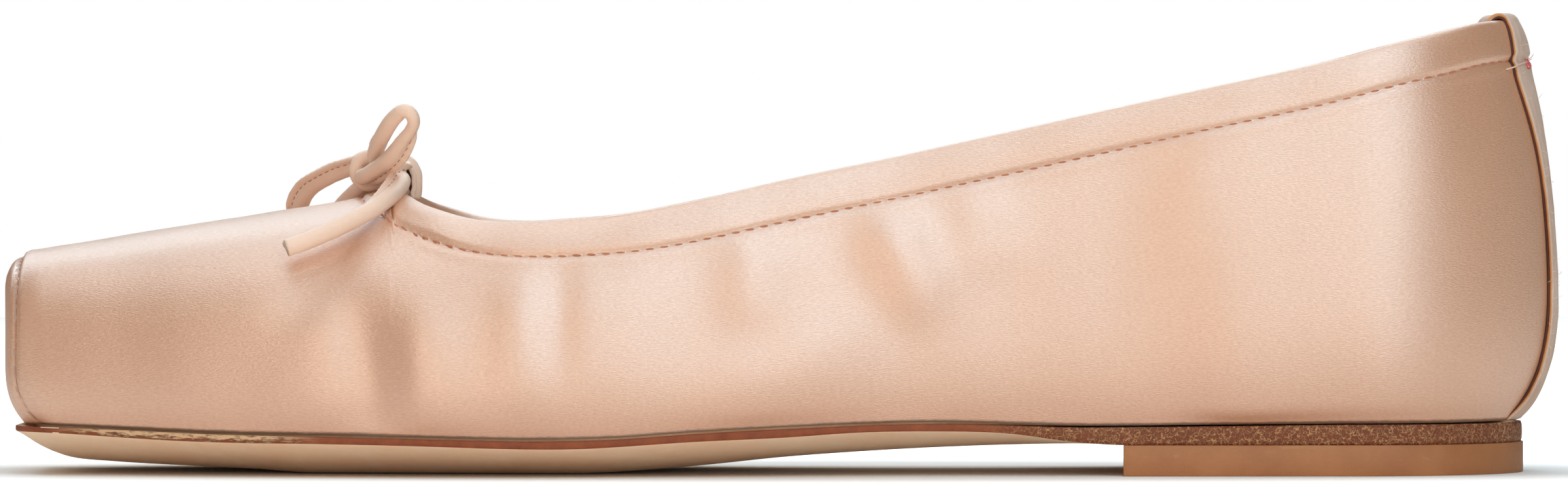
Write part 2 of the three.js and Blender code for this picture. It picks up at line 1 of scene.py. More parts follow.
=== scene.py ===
import bisect
import math
from types import SimpleNamespace

import bmesh
import bpy
import numpy as np
from mathutils import Matrix, Vector, noise


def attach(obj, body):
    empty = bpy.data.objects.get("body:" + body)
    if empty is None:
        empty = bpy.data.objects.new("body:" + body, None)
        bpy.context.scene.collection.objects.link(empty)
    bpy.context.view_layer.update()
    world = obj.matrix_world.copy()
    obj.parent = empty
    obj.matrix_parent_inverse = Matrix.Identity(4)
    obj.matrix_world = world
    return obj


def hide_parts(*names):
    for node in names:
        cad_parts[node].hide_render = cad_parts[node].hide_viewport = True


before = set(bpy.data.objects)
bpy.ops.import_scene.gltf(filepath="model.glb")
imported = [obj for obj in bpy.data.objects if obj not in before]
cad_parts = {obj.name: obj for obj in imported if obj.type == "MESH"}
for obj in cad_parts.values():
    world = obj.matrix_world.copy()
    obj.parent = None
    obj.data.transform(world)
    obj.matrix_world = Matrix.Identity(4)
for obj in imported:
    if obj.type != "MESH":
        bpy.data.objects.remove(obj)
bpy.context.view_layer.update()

METRES = 0.001
OUTER = -1
INNER = 1

# Sizes shared with the model
AXIS_SHIFT = 0.75
SEAT_GAP = 0.3
TOE_FRONT = -124.5
TOE_BOW = 1.0
TOE_BOW_HALF_WIDTH = 18.0
TOE_CORNER = 6.0
TOE_CORNER_FRONT = TOE_FRONT + 1.3
TOE_BROW = 5.0
SEAM_X = TOE_FRONT + 2.85
SEAM_TUCK = 4.0
FRONT_TUCK = 3.0
TUCK_END_X = -104.0
PANEL_ROUNDING = 4.4
HEEL_CENTRE_X = 90.0
HEEL_BACK_RADIUS = 27.8
HEEL_BACK_SWELL = 5.85
THROAT_X = -61.5
CASING_WIDTH = 6.8
CASING_STEP = 0.35
STRIP_TURN_IN = 9.0
SOLE_THICKNESS = 2.6
SOLE_LIP = 0.5
SOLE_FRONT = -121.9
SOLE_CORNER = 7.0
FLAT_SHARE = 0.28
INSOLE_INSET = 2.3
INSOLE_THICKNESS = 1.2
HEEL_HEIGHT = 4.9
HEEL_BREAST_X = 53.5
HEEL_FLARE = 0.3

# The last: x, then half widths outer and inner, heights of the feather edge and the ridge, how far the wall
# swells past the edge and over what height, and how square it is
LAST = [
    (-125, 21.7, 24.3, 8.2, 34.7, 1.6, 10, 3.4),
    (-107, 27.0, 30.2, 7.7, 37.6, 2.0, 10, 3.3),
    (-88, 32.4, 34.9, 7.0, 40.6, 2.3, 11, 3.1),
    (-69, 36.4, 37.2, 6.7, 43.6, 2.5, 12, 2.9),
    (-51, 38.5, 36.6, 6.3, 46.6, 2.6, 12, 2.7),
    (-39, 38.6, 34.8, 6.1, 49.4, 2.6, 12, 2.7),
    (-26, 37.6, 31.9, 6.4, 53.4, 2.5, 13, 2.7),
    (-14, 35.8, 29.0, 7.2, 57.8, 2.4, 13, 2.7),
    (0, 33.2, 26.4, 7.9, 63.5, 2.4, 14, 2.7),
    (23, 29.6, 24.4, 8.6, 73, 2.6, 16, 2.7),
    (48, 27.6, 25.4, 8.0, 83, 3.0, 18, 2.8),
    (70, 27.0, 26.4, 8.2, 88.5, 3.6, 21, 2.8),
    (90, 26.6, 26.6, 8.4, 90.5, 4.2, 24, 2.8),
]
# Topline: x and height
TOPLINE = [
    (-61.5, 44.7), (-59.4, 43.7), (-57, 42.4), (-54.7, 41.6), (-50, 40.6), (-45, 40.1), (-41, 40.0),
    (-33, 40.6), (-24.5, 41.5), (-12, 43.9), (0, 46.7), (21, 51.1), (62, 60.2), (85, 65.2), (98, 68.5),
    (110, 70.9), (118, 71.2),
]
# Underside of the sole: x, lower line of its edge and height of its middle
SOLE = [
    (-121.9, 6.9, 6.6), (-118.8, 6.85, 4.4), (-114, 6.7, 2.5), (-107, 6.3, 1.75), (-96, 5.7, 1.15),
    (-84, 5.4, 0.6), (-75, 5.35, 0), (-60, 5.1, 0), (-39, 4.55, 0), (-32, 4.6, 0), (-14, 5.65, 1.2),
    (0, 6.25, 2.6), (12, 7.0, 3.45), (23, 7.15, 4.05), (35, 6.8, 4.5), (46, 5.4, 4.75), (53.5, 4.9, 4.9),
]

# Routes of the bow's cord
LOOP_OUTER = [
    (-67.0, -3.3, 46.9), (-65.9, -8.0, 47.3), (-63.6, -12.0, 48.7), (-61.5, -16.0, 50.6),
    (-59.7, -19.8, 53.1), (-58.5, -22.4, 55.6), (-59.0, -23.4, 57.2), (-60.3, -22.6, 57.5),
    (-62.0, -20.0, 56.2), (-63.6, -15.6, 54.1), (-64.7, -10.6, 52.4), (-65.3, -6.2, 51.4),
    (-65.4, -3.4, 50.5),
]
LOOP_INNER = [
    (-66.7, 3.7, 49.5), (-67.5, 5.4, 49.4), (-69.0, 7.0, 49.1), (-70.8, 9.0, 48.6), (-72.8, 11.6, 47.9),
    (-74.9, 14.4, 46.9), (-76.8, 17.4, 45.8), (-78.4, 20.6, 44.1), (-79.2, 24.0, 42.0), (-78.4, 27.2, 40.3),
    (-75.8, 28.5, 39.9), (-73.2, 27.0, 41.0), (-71.2, 23.6, 42.8), (-69.6, 19.2, 44.1), (-68.2, 14.4, 45.2),
    (-67.2, 9.2, 45.9), (-66.7, 3.5, 46.2),
]
TAIL_OUTER = [
    (-64.0, -3.4, 47.8), (-61.7, -5.2, 48.4), (-61.0, -9.0, 47.5), (-61.4, -15.1, 45.8),
    (-62.6, -20.5, 44.2), (-64.3, -24.3, 42.7), (-66.7, -27.0, 41.2), (-69.5, -29.1, 39.7),
    (-72.7, -30.6, 38.2), (-75.7, -31.4, 37.0), (-78.2, -31.9, 36.1),
]
TAIL_INNER = [
    (-64.0, 3.4, 47.8), (-61.7, 5.2, 48.4), (-61.0, 9.0, 47.6), (-61.4, 15.0, 46.1), (-62.6, 20.5, 44.6),
    (-64.3, 24.6, 43.0), (-66.7, 27.6, 41.4), (-69.5, 29.9, 39.8), (-72.7, 31.7, 38.3), (-75.7, 32.7, 37.0),
    (-78.2, 33.3, 36.1),
]
WRAP = [
    (-62.6, 0.0, 49.2), (-60.6, 0.0, 49.4), (-59.5, 0.0, 48.0), (-59.2, 0.0, 46.0), (-59.5, 0.0, 43.7),
]
KNOT_CENTRE = (-66.3, 0.0, 48.1)


def lerp(a, b, part):
    return a + (b - a) * part


def clamp(value, low=0.0, high=1.0):
    return min(max(value, low), high)


def smoothstep(value, low, high):
    part = np.clip((value - low) / (high - low), 0.0, 1.0)
    return part * part * (3 - 2 * part)


def bell(distance, width):
    return np.exp(-((distance / width) ** 2))


def srgb(red, green, blue):
    """The linear colour of an 8-bit screen colour."""
    shares = [channel / 255 for channel in (red, green, blue)]
    linear = [s / 12.92 if s <= 0.04045 else ((s + 0.055) / 1.055) ** 2.4 for s in shares]
    return (*linear, 1.0)


# Camera, which stands where the photograph was taken from
CAMERA_PLACE = (0.0, -1.5, 0.048)
CAMERA_AIM = (0.00005, 0.0, 0.03646)
FRAME_WIDTH = 0.2515
SENSOR_WIDTH = 36.0


def stand(name, data, place, aim):
    """Puts a camera or a lamp at its place and turns it to its aim."""
    thing = bpy.data.objects.new(name, data)
    bpy.context.scene.collection.objects.link(thing)
    thing.location = place
    thing.rotation_euler = (Vector(aim) - Vector(place)).to_track_quat("-Z", "Y").to_euler()
    return thing


def make_camera():
    camera = stand("camera", bpy.data.cameras.new("camera"), CAMERA_PLACE, CAMERA_AIM)
    camera.data.sensor_width = SENSOR_WIDTH
    camera.data.lens = SENSOR_WIDTH * (Vector(CAMERA_AIM) - Vector(CAMERA_PLACE)).length / FRAME_WIDTH
    bpy.context.scene.camera = camera


make_camera()


# Node groups and materials
class Net:
    """A node tree with short calls for adding nodes and links."""

    def __init__(self, tree):
        self.tree = tree

    def feed(self, value, socket):
        """Links the value to the socket, or sets it there if it is a number or a colour."""
        if isinstance(value, bpy.types.NodeSocket):
            self.tree.links.new(value, socket)
        else:
            socket.default_value = value

    def add(self, kind, values=None, **settings):
        node = self.tree.nodes.new(kind)
        for key, setting in settings.items():
            setattr(node, key, setting)
        for key, value in (values or {}).items():
            self.feed(value, node.inputs[key])
        return node

    def math(self, operation, first, second=0.0, third=0.0):
        return self.add("ShaderNodeMath", {0: first, 1: second, 2: third}, operation=operation).outputs[0]

    def mix(self, part, first, second):
        return self.add("ShaderNodeMix", {0: part, 6: first, 7: second}, data_type="RGBA").outputs[2]

    def tint(self, base, mask, share, colour):
        """The base colour, turned to another by this share where the mask is 1."""
        return self.mix(self.math("MULTIPLY", mask, share), base, colour)

    def ramp(self, value, start, end):
        """A ramp between two stops, each a place and a grey level."""
        node = self.add("ShaderNodeValToRGB", {"Fac": value})
        for element, (place, level) in zip(node.color_ramp.elements, (start, end)):
            element.position = place
            element.color = (level, level, level, 1.0)
        return node.outputs["Color"]

    def eased(self, value, middle, soft):
        """0 to 1, easing over the soft distance on both sides of the middle."""
        values = {0: value, 1: middle - soft, 2: middle + soft}
        return self.add("ShaderNodeMapRange", values, interpolation_type="SMOOTHSTEP").outputs[0]

    def between(self, value, start, end, soft):
        """1 between start and end, easing to 0 at both."""
        return self.math("SUBTRACT", self.eased(value, start, soft), self.eased(value, end, soft))

    def mapped(self, vector, scale, turn=(0, 0, 0)):
        return self.add("ShaderNodeMapping", {"Vector": vector, "Scale": scale, "Rotation": turn}).outputs[0]

    def noise(self, vector, scale, detail=3.0, roughness=0.55):
        """Cloud noise; a scale of three numbers stretches it along the axes."""
        if isinstance(scale, tuple):
            vector = self.mapped(vector, scale)
            scale = 1.0
        values = {"Vector": vector, "Scale": scale, "Detail": detail, "Roughness": roughness}
        return self.add("ShaderNodeTexNoise", values).outputs["Fac"]

    def cell_edges(self, vector, scale):
        """Distance from the edges of small uneven cells."""
        values = {"Vector": vector, "Scale": scale}
        return self.add("ShaderNodeTexVoronoi", values, feature="DISTANCE_TO_EDGE").outputs["Distance"]

    def attribute(self, name):
        return self.add("ShaderNodeAttribute", attribute_name=name).outputs["Vector"]

    def split(self, vector):
        return self.add("ShaderNodeSeparateXYZ", {0: vector}).outputs


def new_group(name, inputs, outputs):
    """A shader node group of values: its net, its given sockets and its output sockets."""
    group = bpy.data.node_groups.new(name, "ShaderNodeTree")
    for label, kind in inputs:
        group.interface.new_socket(label, in_out="INPUT", socket_type=kind)
    for label in outputs:
        group.interface.new_socket(label, in_out="OUTPUT", socket_type="NodeSocketFloat")
    net = Net(group)
    return net, net.add("NodeGroupInput").outputs, net.add("NodeGroupOutput").inputs


# Satin weave: slant of its floats, scales along and across the cloth per millimetre, share of its fine rows
FLOAT_SLANT = -0.1
FLOAT_SCALE = (1.7, 5.8, 1.0)
FINE_SCALE = (4.0, 11.0, 1.0)
FINE_SHARE = 0.4
SPARKLE_SCALE = (1.3, 4.0, 1.0)
CLOUD_SCALE = 0.06


def weave_group():
    """Satin cloth: short uneven floats in fine rows. The vector is in millimetres along and across it."""
    outputs = ["Height", "Sparkle", "Cloud"]
    net, given, out = new_group("satin_weave", [("Vector", "NodeSocketVector")], outputs)
    slanted = net.mapped(given["Vector"], (1, 1, 1), (0, 0, FLOAT_SLANT))
    floats = net.noise(slanted, FLOAT_SCALE, 2.0, 0.6)
    fine = net.noise(slanted, FINE_SCALE, 1.0)
    net.feed(net.math("MULTIPLY_ADD", fine, FINE_SHARE, floats), out["Height"])
    net.feed(net.noise(slanted, SPARKLE_SCALE, 3.0, 0.65), out["Sparkle"])
    net.feed(net.noise(given["Vector"], CLOUD_SCALE, 4.0), out["Cloud"])
    return net.tree


# Leather grain: share of a cell that its crease takes, depths, and scales per millimetre
GRAIN_CREASE_SHARE = 0.18
GRAIN_CREASE_DEPTH = 0.5
PORE_SCALE = 3.2
PORE_DEPTH = 0.8
MOTTLE_SCALE = 0.11
WEAR_SCALE = (0.12, 0.5, 0.5)


def grain_group():
    """Leather grain: small cells with fine creases between them. The vector is in millimetres."""
    inputs = [("Vector", "NodeSocketVector"), ("Cell Scale", "NodeSocketFloat")]
    net, given, out = new_group("leather_grain", inputs, ["Height", "Mottle", "Wear"])
    place = given["Vector"]
    creases = net.ramp(net.cell_edges(place, given["Cell Scale"]), (0.0, 0.0), (GRAIN_CREASE_SHARE, 1.0))
    pores = net.math("MULTIPLY", net.noise(place, PORE_SCALE), PORE_DEPTH)
    net.feed(net.math("MULTIPLY_ADD", creases, GRAIN_CREASE_DEPTH, pores), out["Height"])
    net.feed(net.noise(place, MOTTLE_SCALE, 5.0, 0.6), out["Mottle"])
    net.feed(net.noise(place, WEAR_SCALE, 6.0, 0.65), out["Wear"])
    return net.tree


WEAVE = weave_group()
GRAIN = grain_group()


def new_material(name, **constants):
    """A material, its net and the sockets of its Principled shader, on which the constants are set."""
    material = bpy.data.materials.new(name)
    material.use_nodes = True
    finish = material.node_tree.nodes["Principled BSDF"].inputs
    for label, value in constants.items():
        finish[label.replace("_", " ")].default_value = value
    return material, Net(material.node_tree), finish


def millimetres(net):
    """Object coordinates in millimetres."""
    place = net.add("ShaderNodeTexCoord").outputs["Object"]
    return net.add("ShaderNodeVectorMath", {0: place, 1: (1000, 1000, 1000)}, operation="MULTIPLY").outputs[0]


def bump(net, finish, height, depth):
    """Raises the surface; a height of 1 stands for this depth in millimetres."""
    node = net.add("ShaderNodeBump", {"Height": height, "Distance": depth * METRES, "Strength": 1.0})
    net.feed(node.outputs["Normal"], finish["Normal"])


# Satin: colours, finish, and the stops where its colours turn
SATIN_DARK = srgb(203, 147, 112)
SATIN_LIGHT = srgb(208, 152, 117)
SATIN_SPARKLE = srgb(228, 184, 154)
SATIN_IOR = 3.5
SATIN_ROUGHNESS = 0.38
SATIN_RELIEF = 0.07
SATIN_STRETCH = 0.35
SATIN_STRETCH_TURN = 0.25
CLOUD_STOPS = ((0.3, 0.0), (0.7, 1.0))
SPARKLE_STOPS = ((0.35, 0.0), (0.65, 1.0))
SPARKLE_SHARE = 0.7
SPARKLE_GLOSS = 0.1
FOOT_DARKENING = srgb(86, 46, 36)
FOOT_STOPS = ((0.5, 0.85), (0.85, 0.0))
FOOT_SCALE = 0.7
FOOT_RAGGED = 0.5
STITCH_PITCH = 2.3
SEAM_PITCH = 1.9
# Stitch rows: attribute with the distances along and off the row, where the row lies, its pitch, and the
# colour of the painted shade in its holes with the share that it takes
STITCH_ROWS = [
    ("topline", CASING_WIDTH, STITCH_PITCH, srgb(164, 84, 50), 0.25),
    ("toe_seam", 0.0, SEAM_PITCH, srgb(150, 100, 74), 0.6),
]
HOLE_STOPS = ((0.1, 1.0), (0.2, 0.0))
ROW_STOPS = ((0.06, 1.0), (0.22, 0.0))
HOLE_SLANT = 0.5
HOLE_DEPTH = 0.6


def satin_material():
    """Peach satin: weave, sparkle painted as lighter glints, clouding, the holes of its stitch rows darkened
    with painted shade, and a darker ragged line along its foot.
    """
    material, net, finish = new_material("satin", IOR=SATIN_IOR, Anisotropic=SATIN_STRETCH,
                                         Anisotropic_Rotation=SATIN_STRETCH_TURN)
    cloth = net.attribute("cloth")
    weave = net.add("ShaderNodeGroup", {"Vector": cloth}, node_tree=WEAVE).outputs
    base = net.mix(net.ramp(weave["Cloud"], *CLOUD_STOPS), SATIN_DARK, SATIN_LIGHT)
    # Painted glints: specks of the weave's sparkle are tinted lighter, and are also a little glossier
    sparkle = net.ramp(weave["Sparkle"], *SPARKLE_STOPS)
    base = net.tint(base, sparkle, SPARKLE_SHARE, SATIN_SPARKLE)
    height = weave["Height"]
    for label, row, pitch, colour, share in STITCH_ROWS:
        hole = stitch_holes(net, label, row, pitch)
        # Painted shade: the holes are darkened as if shadowed inside, and the next line sinks them in the
        # bump
        base = net.tint(base, hole, share, colour)
        height = net.math("MULTIPLY_ADD", hole, -HOLE_DEPTH, height)
    # Darker in a ragged line along its foot
    risen = net.split(cloth)[1]
    ragged = net.math("MULTIPLY_ADD", net.noise(cloth, FOOT_SCALE), FOOT_RAGGED, risen)
    base = net.mix(net.ramp(ragged, *FOOT_STOPS), base, FOOT_DARKENING)
    net.feed(base, finish["Base Color"])
    net.feed(net.math("MULTIPLY_ADD", sparkle, -SPARKLE_GLOSS, SATIN_ROUGHNESS), finish["Roughness"])
    bump(net, finish, height, SATIN_RELIEF)
    return material


def stitch_holes(net, label, row, pitch):
    """Small slanted holes along a stitch row: 1 in a hole, 0 elsewhere."""
    along, off, _ = net.split(net.attribute(label))
    from_row = net.math("SUBTRACT", off, row)
    slanted = net.math("MULTIPLY_ADD", from_row, HOLE_SLANT, along)
    turn = net.math("FRACT", net.math("DIVIDE", slanted, pitch))
    across = net.math("ABSOLUTE", net.math("SUBTRACT", turn, 0.5))
    near_hole = net.ramp(across, *HOLE_STOPS)
    near_row = net.ramp(net.math("ABSOLUTE", from_row), *ROW_STOPS)
    return net.math("MULTIPLY", near_hole, near_row)


# Leathers and threads: name, light and dark colour, grain cells per millimetre, depth of the grain,
# roughness, and the colour of worn patches
LEATHERS = [
    ("lining_leather", (226, 202, 178), (208, 180, 152), 1.6, 0.05, 0.55, None),
    ("sole_leather", (255, 236, 212), (253, 224, 196), 2.4, 0.04, 0.5, (248, 216, 186)),
    ("heel_leather", (176, 122, 80), (162, 108, 68), 2.6, 0.03, 0.5, (190, 148, 108)),
    ("strip_leather", (226, 204, 191), (208, 182, 166), 5.0, 0.05, 0.65, (238, 226, 217)),
    ("strip_edge", (222, 162, 104), (200, 132, 78), 5.0, 0.04, 0.6, None),
    # This one is no leather: a dark sheet under the back strip that paints the shadow in the gap along its
    # edge
    ("strip_shadow_layer", (96, 48, 34), (70, 30, 22), 5.0, 0.04, 0.7, None),
    ("bow_leather", (248, 223, 207), (241, 212, 194), 2.0, 0.03, 0.5, None),
    ("cord_core", (236, 222, 208), (206, 188, 172), 3.0, 0.15, 0.85, None),
    ("stitch_thread", (208, 146, 112), (190, 122, 88), 5.0, 0.05, 0.5, None),
    ("loose_thread", (240, 220, 208), (226, 200, 184), 5.0, 0.05, 0.5, None),
    ("tack_thread", (232, 120, 118), (214, 92, 94), 5.0, 0.05, 0.5, None),
    ("strip_fibre", (244, 236, 230), (230, 218, 208), 5.0, 0.02, 0.6, None),
]
MOTTLE_STOPS = ((0.32, 0.0), (0.68, 1.0))
MOTTLE_GLOSS = 0.2
WEAR_STOPS = ((0.62, 0.0), (0.74, 1.0))
WEAR_SHARE = 0.6


def leather_material(name, light, dark, cells, depth, roughness, wear):
    """Plain leather with grain, mottling and, where it has a wear colour, worn patches."""
    material, net, finish = new_material(name)
    values = {"Vector": millimetres(net), "Cell Scale": cells}
    grain = net.add("ShaderNodeGroup", values, node_tree=GRAIN).outputs
    base = net.mix(net.ramp(grain["Mottle"], *MOTTLE_STOPS), srgb(*dark), srgb(*light))
    if wear:
        base = net.tint(base, net.ramp(grain["Wear"], *WEAR_STOPS), WEAR_SHARE, srgb(*wear))
    net.feed(base, finish["Base Color"])
    uneven_gloss = net.math("MULTIPLY_ADD", grain["Mottle"], MOTTLE_GLOSS, roughness - MOTTLE_GLOSS / 2)
    net.feed(uneven_gloss, finish["Roughness"])
    bump(net, finish, grain["Height"], depth)
    return material


# Stitch marks of the bow's cord
CORD_STITCH_PITCH = 1.7
CORD_STITCH_WAVER = 1.4
WAVER_SCALE = (0.9, 0.0, 0.0)
CORD_SEAM_REACH = 0.9
CORD_STITCH = srgb(130, 74, 50)
CORD_STITCH_SHARE = 0.8
CORD_STITCH_STOPS = ((0.4, 0.0), (0.55, 1.0))
CORD_SEAM_STOPS = ((0.03, 1.0), (0.12, 0.0))


def mark_cord_stitches(material):
    """Adds small dark stitch marks where the cord's flange meets its bead."""
    net = Net(material.node_tree)
    colour = material.node_tree.nodes["Principled BSDF"].inputs["Base Color"]
    plain = colour.links[0].from_socket
    seam = net.attribute("cord_seam")
    along, reach, _ = net.split(seam)
    shifted = net.math("MULTIPLY_ADD", net.noise(seam, WAVER_SCALE, 2.0), CORD_STITCH_WAVER, along)
    part = net.math("FRACT", net.math("DIVIDE", shifted, CORD_STITCH_PITCH))
    off = net.math("ABSOLUTE", net.math("SUBTRACT", reach, CORD_SEAM_REACH))
    on_stitch = net.ramp(part, *CORD_STITCH_STOPS)
    in_seam = net.ramp(off, *CORD_SEAM_STOPS)
    mark = net.math("MULTIPLY", on_stitch, in_seam)
    net.feed(net.tint(plain, mark, CORD_STITCH_SHARE, CORD_STITCH), colour)


# Edge of the sole: its colours, the shares that they take, where along the shoe it is raw and crackled, with
# the soft ends of both stretches, and its texture
EDGE_DARK = srgb(112, 50, 28)
EDGE_LIGHT = srgb(164, 90, 52)
EDGE_RAW = srgb(226, 192, 152)
EDGE_HEEL = srgb(92, 44, 28)
EDGE_CRACKLE = srgb(214, 166, 118)
RAW_SHARE = 0.9
HEEL_SHARE = 0.5
CRACKLE_SHARE = 0.8
RAW_STRETCH = (-111.0, -77.0, 6.0)
RAW_SCALE = (0.5, 2.6, 0.0)
RAW_STOPS = ((0.5, 0.0), (0.64, 1.0))
RAW_RISE = 0.22
CRACKLE_STRETCH = (36.0, 140.0, 8.0)
CRACKLE_SCALES = (1.15, 2.1)
CRACKLE_BEND_SCALE = 1.6
CRACK_STOPS = ((0.025, 1.0), (0.09, 0.0))
FINE_CRACKS = 0.7
KEPT_SCALE = 1.4
KEPT_STOPS = ((0.38, 0.0), (0.5, 1.0))
EDGE_ROUGHNESS = 0.6
EDGE_STAIN_SCALE = 0.5
EDGE_GRAIN_SCALE = 2.4
EDGE_GRAIN = 0.6
CRACKLE_HEIGHT = 0.6
EDGE_RELIEF = 0.18


def sole_edge_material():
    """Edge of the sole: red-brown stain, worn to a pale frayed stretch at the toe and crackled at the heel.
    Its attribute holds the place along the shoe and the height up the edge from 0 to 1."""
    material, net, finish = new_material("sole_edge", Roughness=EDGE_ROUGHNESS)
    place = millimetres(net)
    edge = net.attribute("edge")
    along, up, _ = net.split(edge)
    stain = net.mix(net.noise(place, EDGE_STAIN_SCALE, 4.0), EDGE_DARK, EDGE_LIGHT)
    ragged = net.math("MULTIPLY_ADD", up, RAW_RISE, net.noise(edge, RAW_SCALE, 5.0, 0.7))
    raw = net.math("MULTIPLY", net.between(along, *RAW_STRETCH), net.ramp(ragged, *RAW_STOPS))
    stain = net.tint(stain, raw, RAW_SHARE, EDGE_RAW)
    values = {"Vector": place, "Scale": CRACKLE_BEND_SCALE, "Detail": 2.0}
    wavy = net.add("ShaderNodeTexNoise", values).outputs["Color"]
    bent = net.add("ShaderNodeVectorMath", {0: place, 1: wavy}, operation="ADD").outputs[0]
    cracks = [net.cell_edges(bent, scale) for scale in CRACKLE_SCALES]
    wide, fine = [net.ramp(crack, *CRACK_STOPS) for crack in cracks]
    crackle = net.math("MAXIMUM", wide, net.math("MULTIPLY", fine, FINE_CRACKS))
    kept = net.ramp(net.noise(place, KEPT_SCALE), *KEPT_STOPS)
    in_heel = net.between(along, *CRACKLE_STRETCH)
    crackle = net.math("MULTIPLY", net.math("MULTIPLY", crackle, kept), in_heel)
    stain = net.tint(stain, in_heel, HEEL_SHARE, EDGE_HEEL)
    stain = net.tint(stain, crackle, CRACKLE_SHARE, EDGE_CRACKLE)
    net.feed(stain, finish["Base Color"])
    raised = net.math("MULTIPLY_ADD", crackle, CRACKLE_HEIGHT, raw)
    grain = net.noise(place, EDGE_GRAIN_SCALE, 4.0, 0.7)
    bump(net, finish, net.math("MULTIPLY_ADD", grain, EDGE_GRAIN, raised), EDGE_RELIEF)
    return material


SATIN = satin_material()
SOLE_EDGE = sole_edge_material()
LEATHER = {row[0]: leather_material(*row) for row in LEATHERS}
mark_cord_stitches(LEATHER["bow_leather"])


# Pieces
def finish_piece(name, bm, materials, replaced=()):
    """Turns a bmesh in millimetres into a piece of the shoe that rides on its body."""
    bmesh.ops.scale(bm, vec=(METRES, METRES, METRES), verts=bm.verts)
    mesh = bpy.data.meshes.new(name)
    bm.to_mesh(mesh)
    bm.free()
    for material in materials:
        mesh.materials.append(material)
    for polygon in mesh.polygons:
        polygon.use_smooth = True
    piece = bpy.data.objects.new(name, mesh)
    bpy.context.scene.collection.objects.link(piece)
    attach(piece, "root")
    if replaced:
        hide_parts(*replaced)
    return piece


def add_grid(bm, places, attributes=None):
    """Adds a grid laid on an array of places (columns, rows, 3), with vector attributes in arrays alike."""
    attributes = attributes or {}
    columns = places.shape[0] - 1
    rows = places.shape[1] - 1
    known = bm.verts.layers.float_vector
    for label in attributes:
        if known.get(label) is None:
            known.new(label)
    layers = {label: known[label] for label in attributes}
    for vert in bmesh.ops.create_grid(bm, x_segments=columns, y_segments=rows, size=1.0)["verts"]:
        column = round((vert.co.x + 1) / 2 * columns)
        row = round((vert.co.y + 1) / 2 * rows)
        for label, values in attributes.items():
            vert[layers[label]] = Vector(values[column, row])
        vert.co = places[column, row]


SEAM_REACH = 0.004


def close_seams(bm, reach=SEAM_REACH):
    bmesh.ops.remove_doubles(bm, verts=bm.verts, dist=reach)
    bmesh.ops.dissolve_degenerate(bm, edges=bm.edges, dist=reach)
    bmesh.ops.recalc_face_normals(bm, faces=bm.faces)


def unit(vectors):
    return vectors / np.maximum(np.linalg.norm(vectors, axis=-1, keepdims=True), 1e-9)


def reached_along(line):
    """Distance from the line's start to each of its points."""
    return np.concatenate([[0], np.cumsum(np.linalg.norm(np.diff(line, axis=0), axis=1))])


def points_at(line, reached, wanted):
    """The line's points, or other values that it has at them, at the wanted distances."""
    return np.stack([np.interp(wanted, reached, values) for values in line.T], axis=-1)


def resample(line, step):
    """The line's points at even distances of about this step."""
    reached = reached_along(line)
    count = max(2, round(reached[-1] / step))
    return points_at(line, reached, np.linspace(0, reached[-1], count + 1))


CURVE_PARTS = 24


def smooth_curve(points, step):
    """Points at even steps along a smooth curve through a few places."""
    given = np.array(points, float)
    ends = np.vstack([2 * given[0] - given[1], given, 2 * given[-1] - given[-2]])
    dense = []
    for index in range(1, len(ends) - 2):
        before, start, end, after = ends[index - 1: index + 3]
        for part in np.linspace(0, 1, CURVE_PARTS, endpoint=False):
            dense.append(0.5 * (
                2 * start + (end - before) * part + (2 * before - 5 * start + 4 * end - after) * part**2
                + (3 * start - before - 3 * end + after) * part**3
            ))
    dense.append(given[-1])
    return resample(np.array(dense), step)


# Bow of rolled leather cord: a round bead with a thin stitched flange along one side
BEAD_RADIUS = 1.3
BEAD_OFFSET = -0.5
BEAD_SIDES = 14
FLANGE_REACH = 1.95
FLANGE_HALF = 0.38
# One side of the flange: share of its reach and of its half thickness
FLANGE_SIDE = [(0.16, 0.66), (0.4, 1.0), (0.75, 1.0), (0.95, 0.8)]
CORD_STEP = 0.45
CORD_WRINKLE = 0.03
WRINKLE_SCALE = (0.5, 0.7, 9.0)
PUCKER = 0.05
PUCKER_FROM = 1.1
LOOP_TIP = 0.46
PINCH_DEPTH = 0.24
PINCH_SHARE = 0.1
# Ways that the flanges lean. The near loop's turns from one to another between two shares of its length, and
# the far loop's looks away from the middle of the loop
LOOP_OUTER_LEANS = ((1, -0.1, -0.5), (-0.15, 1, 0.1))
LOOP_OUTER_TURN = (0.3, 0.52)
LOOP_INNER_MIDDLE = (-71.6, 14.5, 46.0)
END_OUTER_LEAN = (0, 1, 0.35)
END_INNER_LEAN = (0, -1, 0.35)
STRAND_WRINKLE = 0.12
KNOT_BEAD = 0.95
END_BEAD = 1.06
KNOT_TURN_RADIUS = 2.15
KNOT_TURNS = 1.6
KNOT_PITCH = 2.1
KNOT_START = 0.6
KNOT_STEPS = 60


def cord_profile():
    """Cross-section of the cord as (towards the flange, across) pairs, once round."""
    start = math.asin(FLANGE_HALF / BEAD_RADIUS)
    profile = []
    for step in range(BEAD_SIDES + 1):
        angle = lerp(start, 2 * math.pi - start, step / BEAD_SIDES)
        profile.append((BEAD_OFFSET + BEAD_RADIUS * math.cos(angle), BEAD_RADIUS * math.sin(angle)))
    neck = profile[0][0]
    flange = FLANGE_SIDE + [(1.0, 0.0)] + [(share, -half) for share, half in reversed(FLANGE_SIDE)]
    profile += [(lerp(neck, FLANGE_REACH, share), -FLANGE_HALF * half) for share, half in flange]
    profile.append(profile[0])
    return np.array(profile)


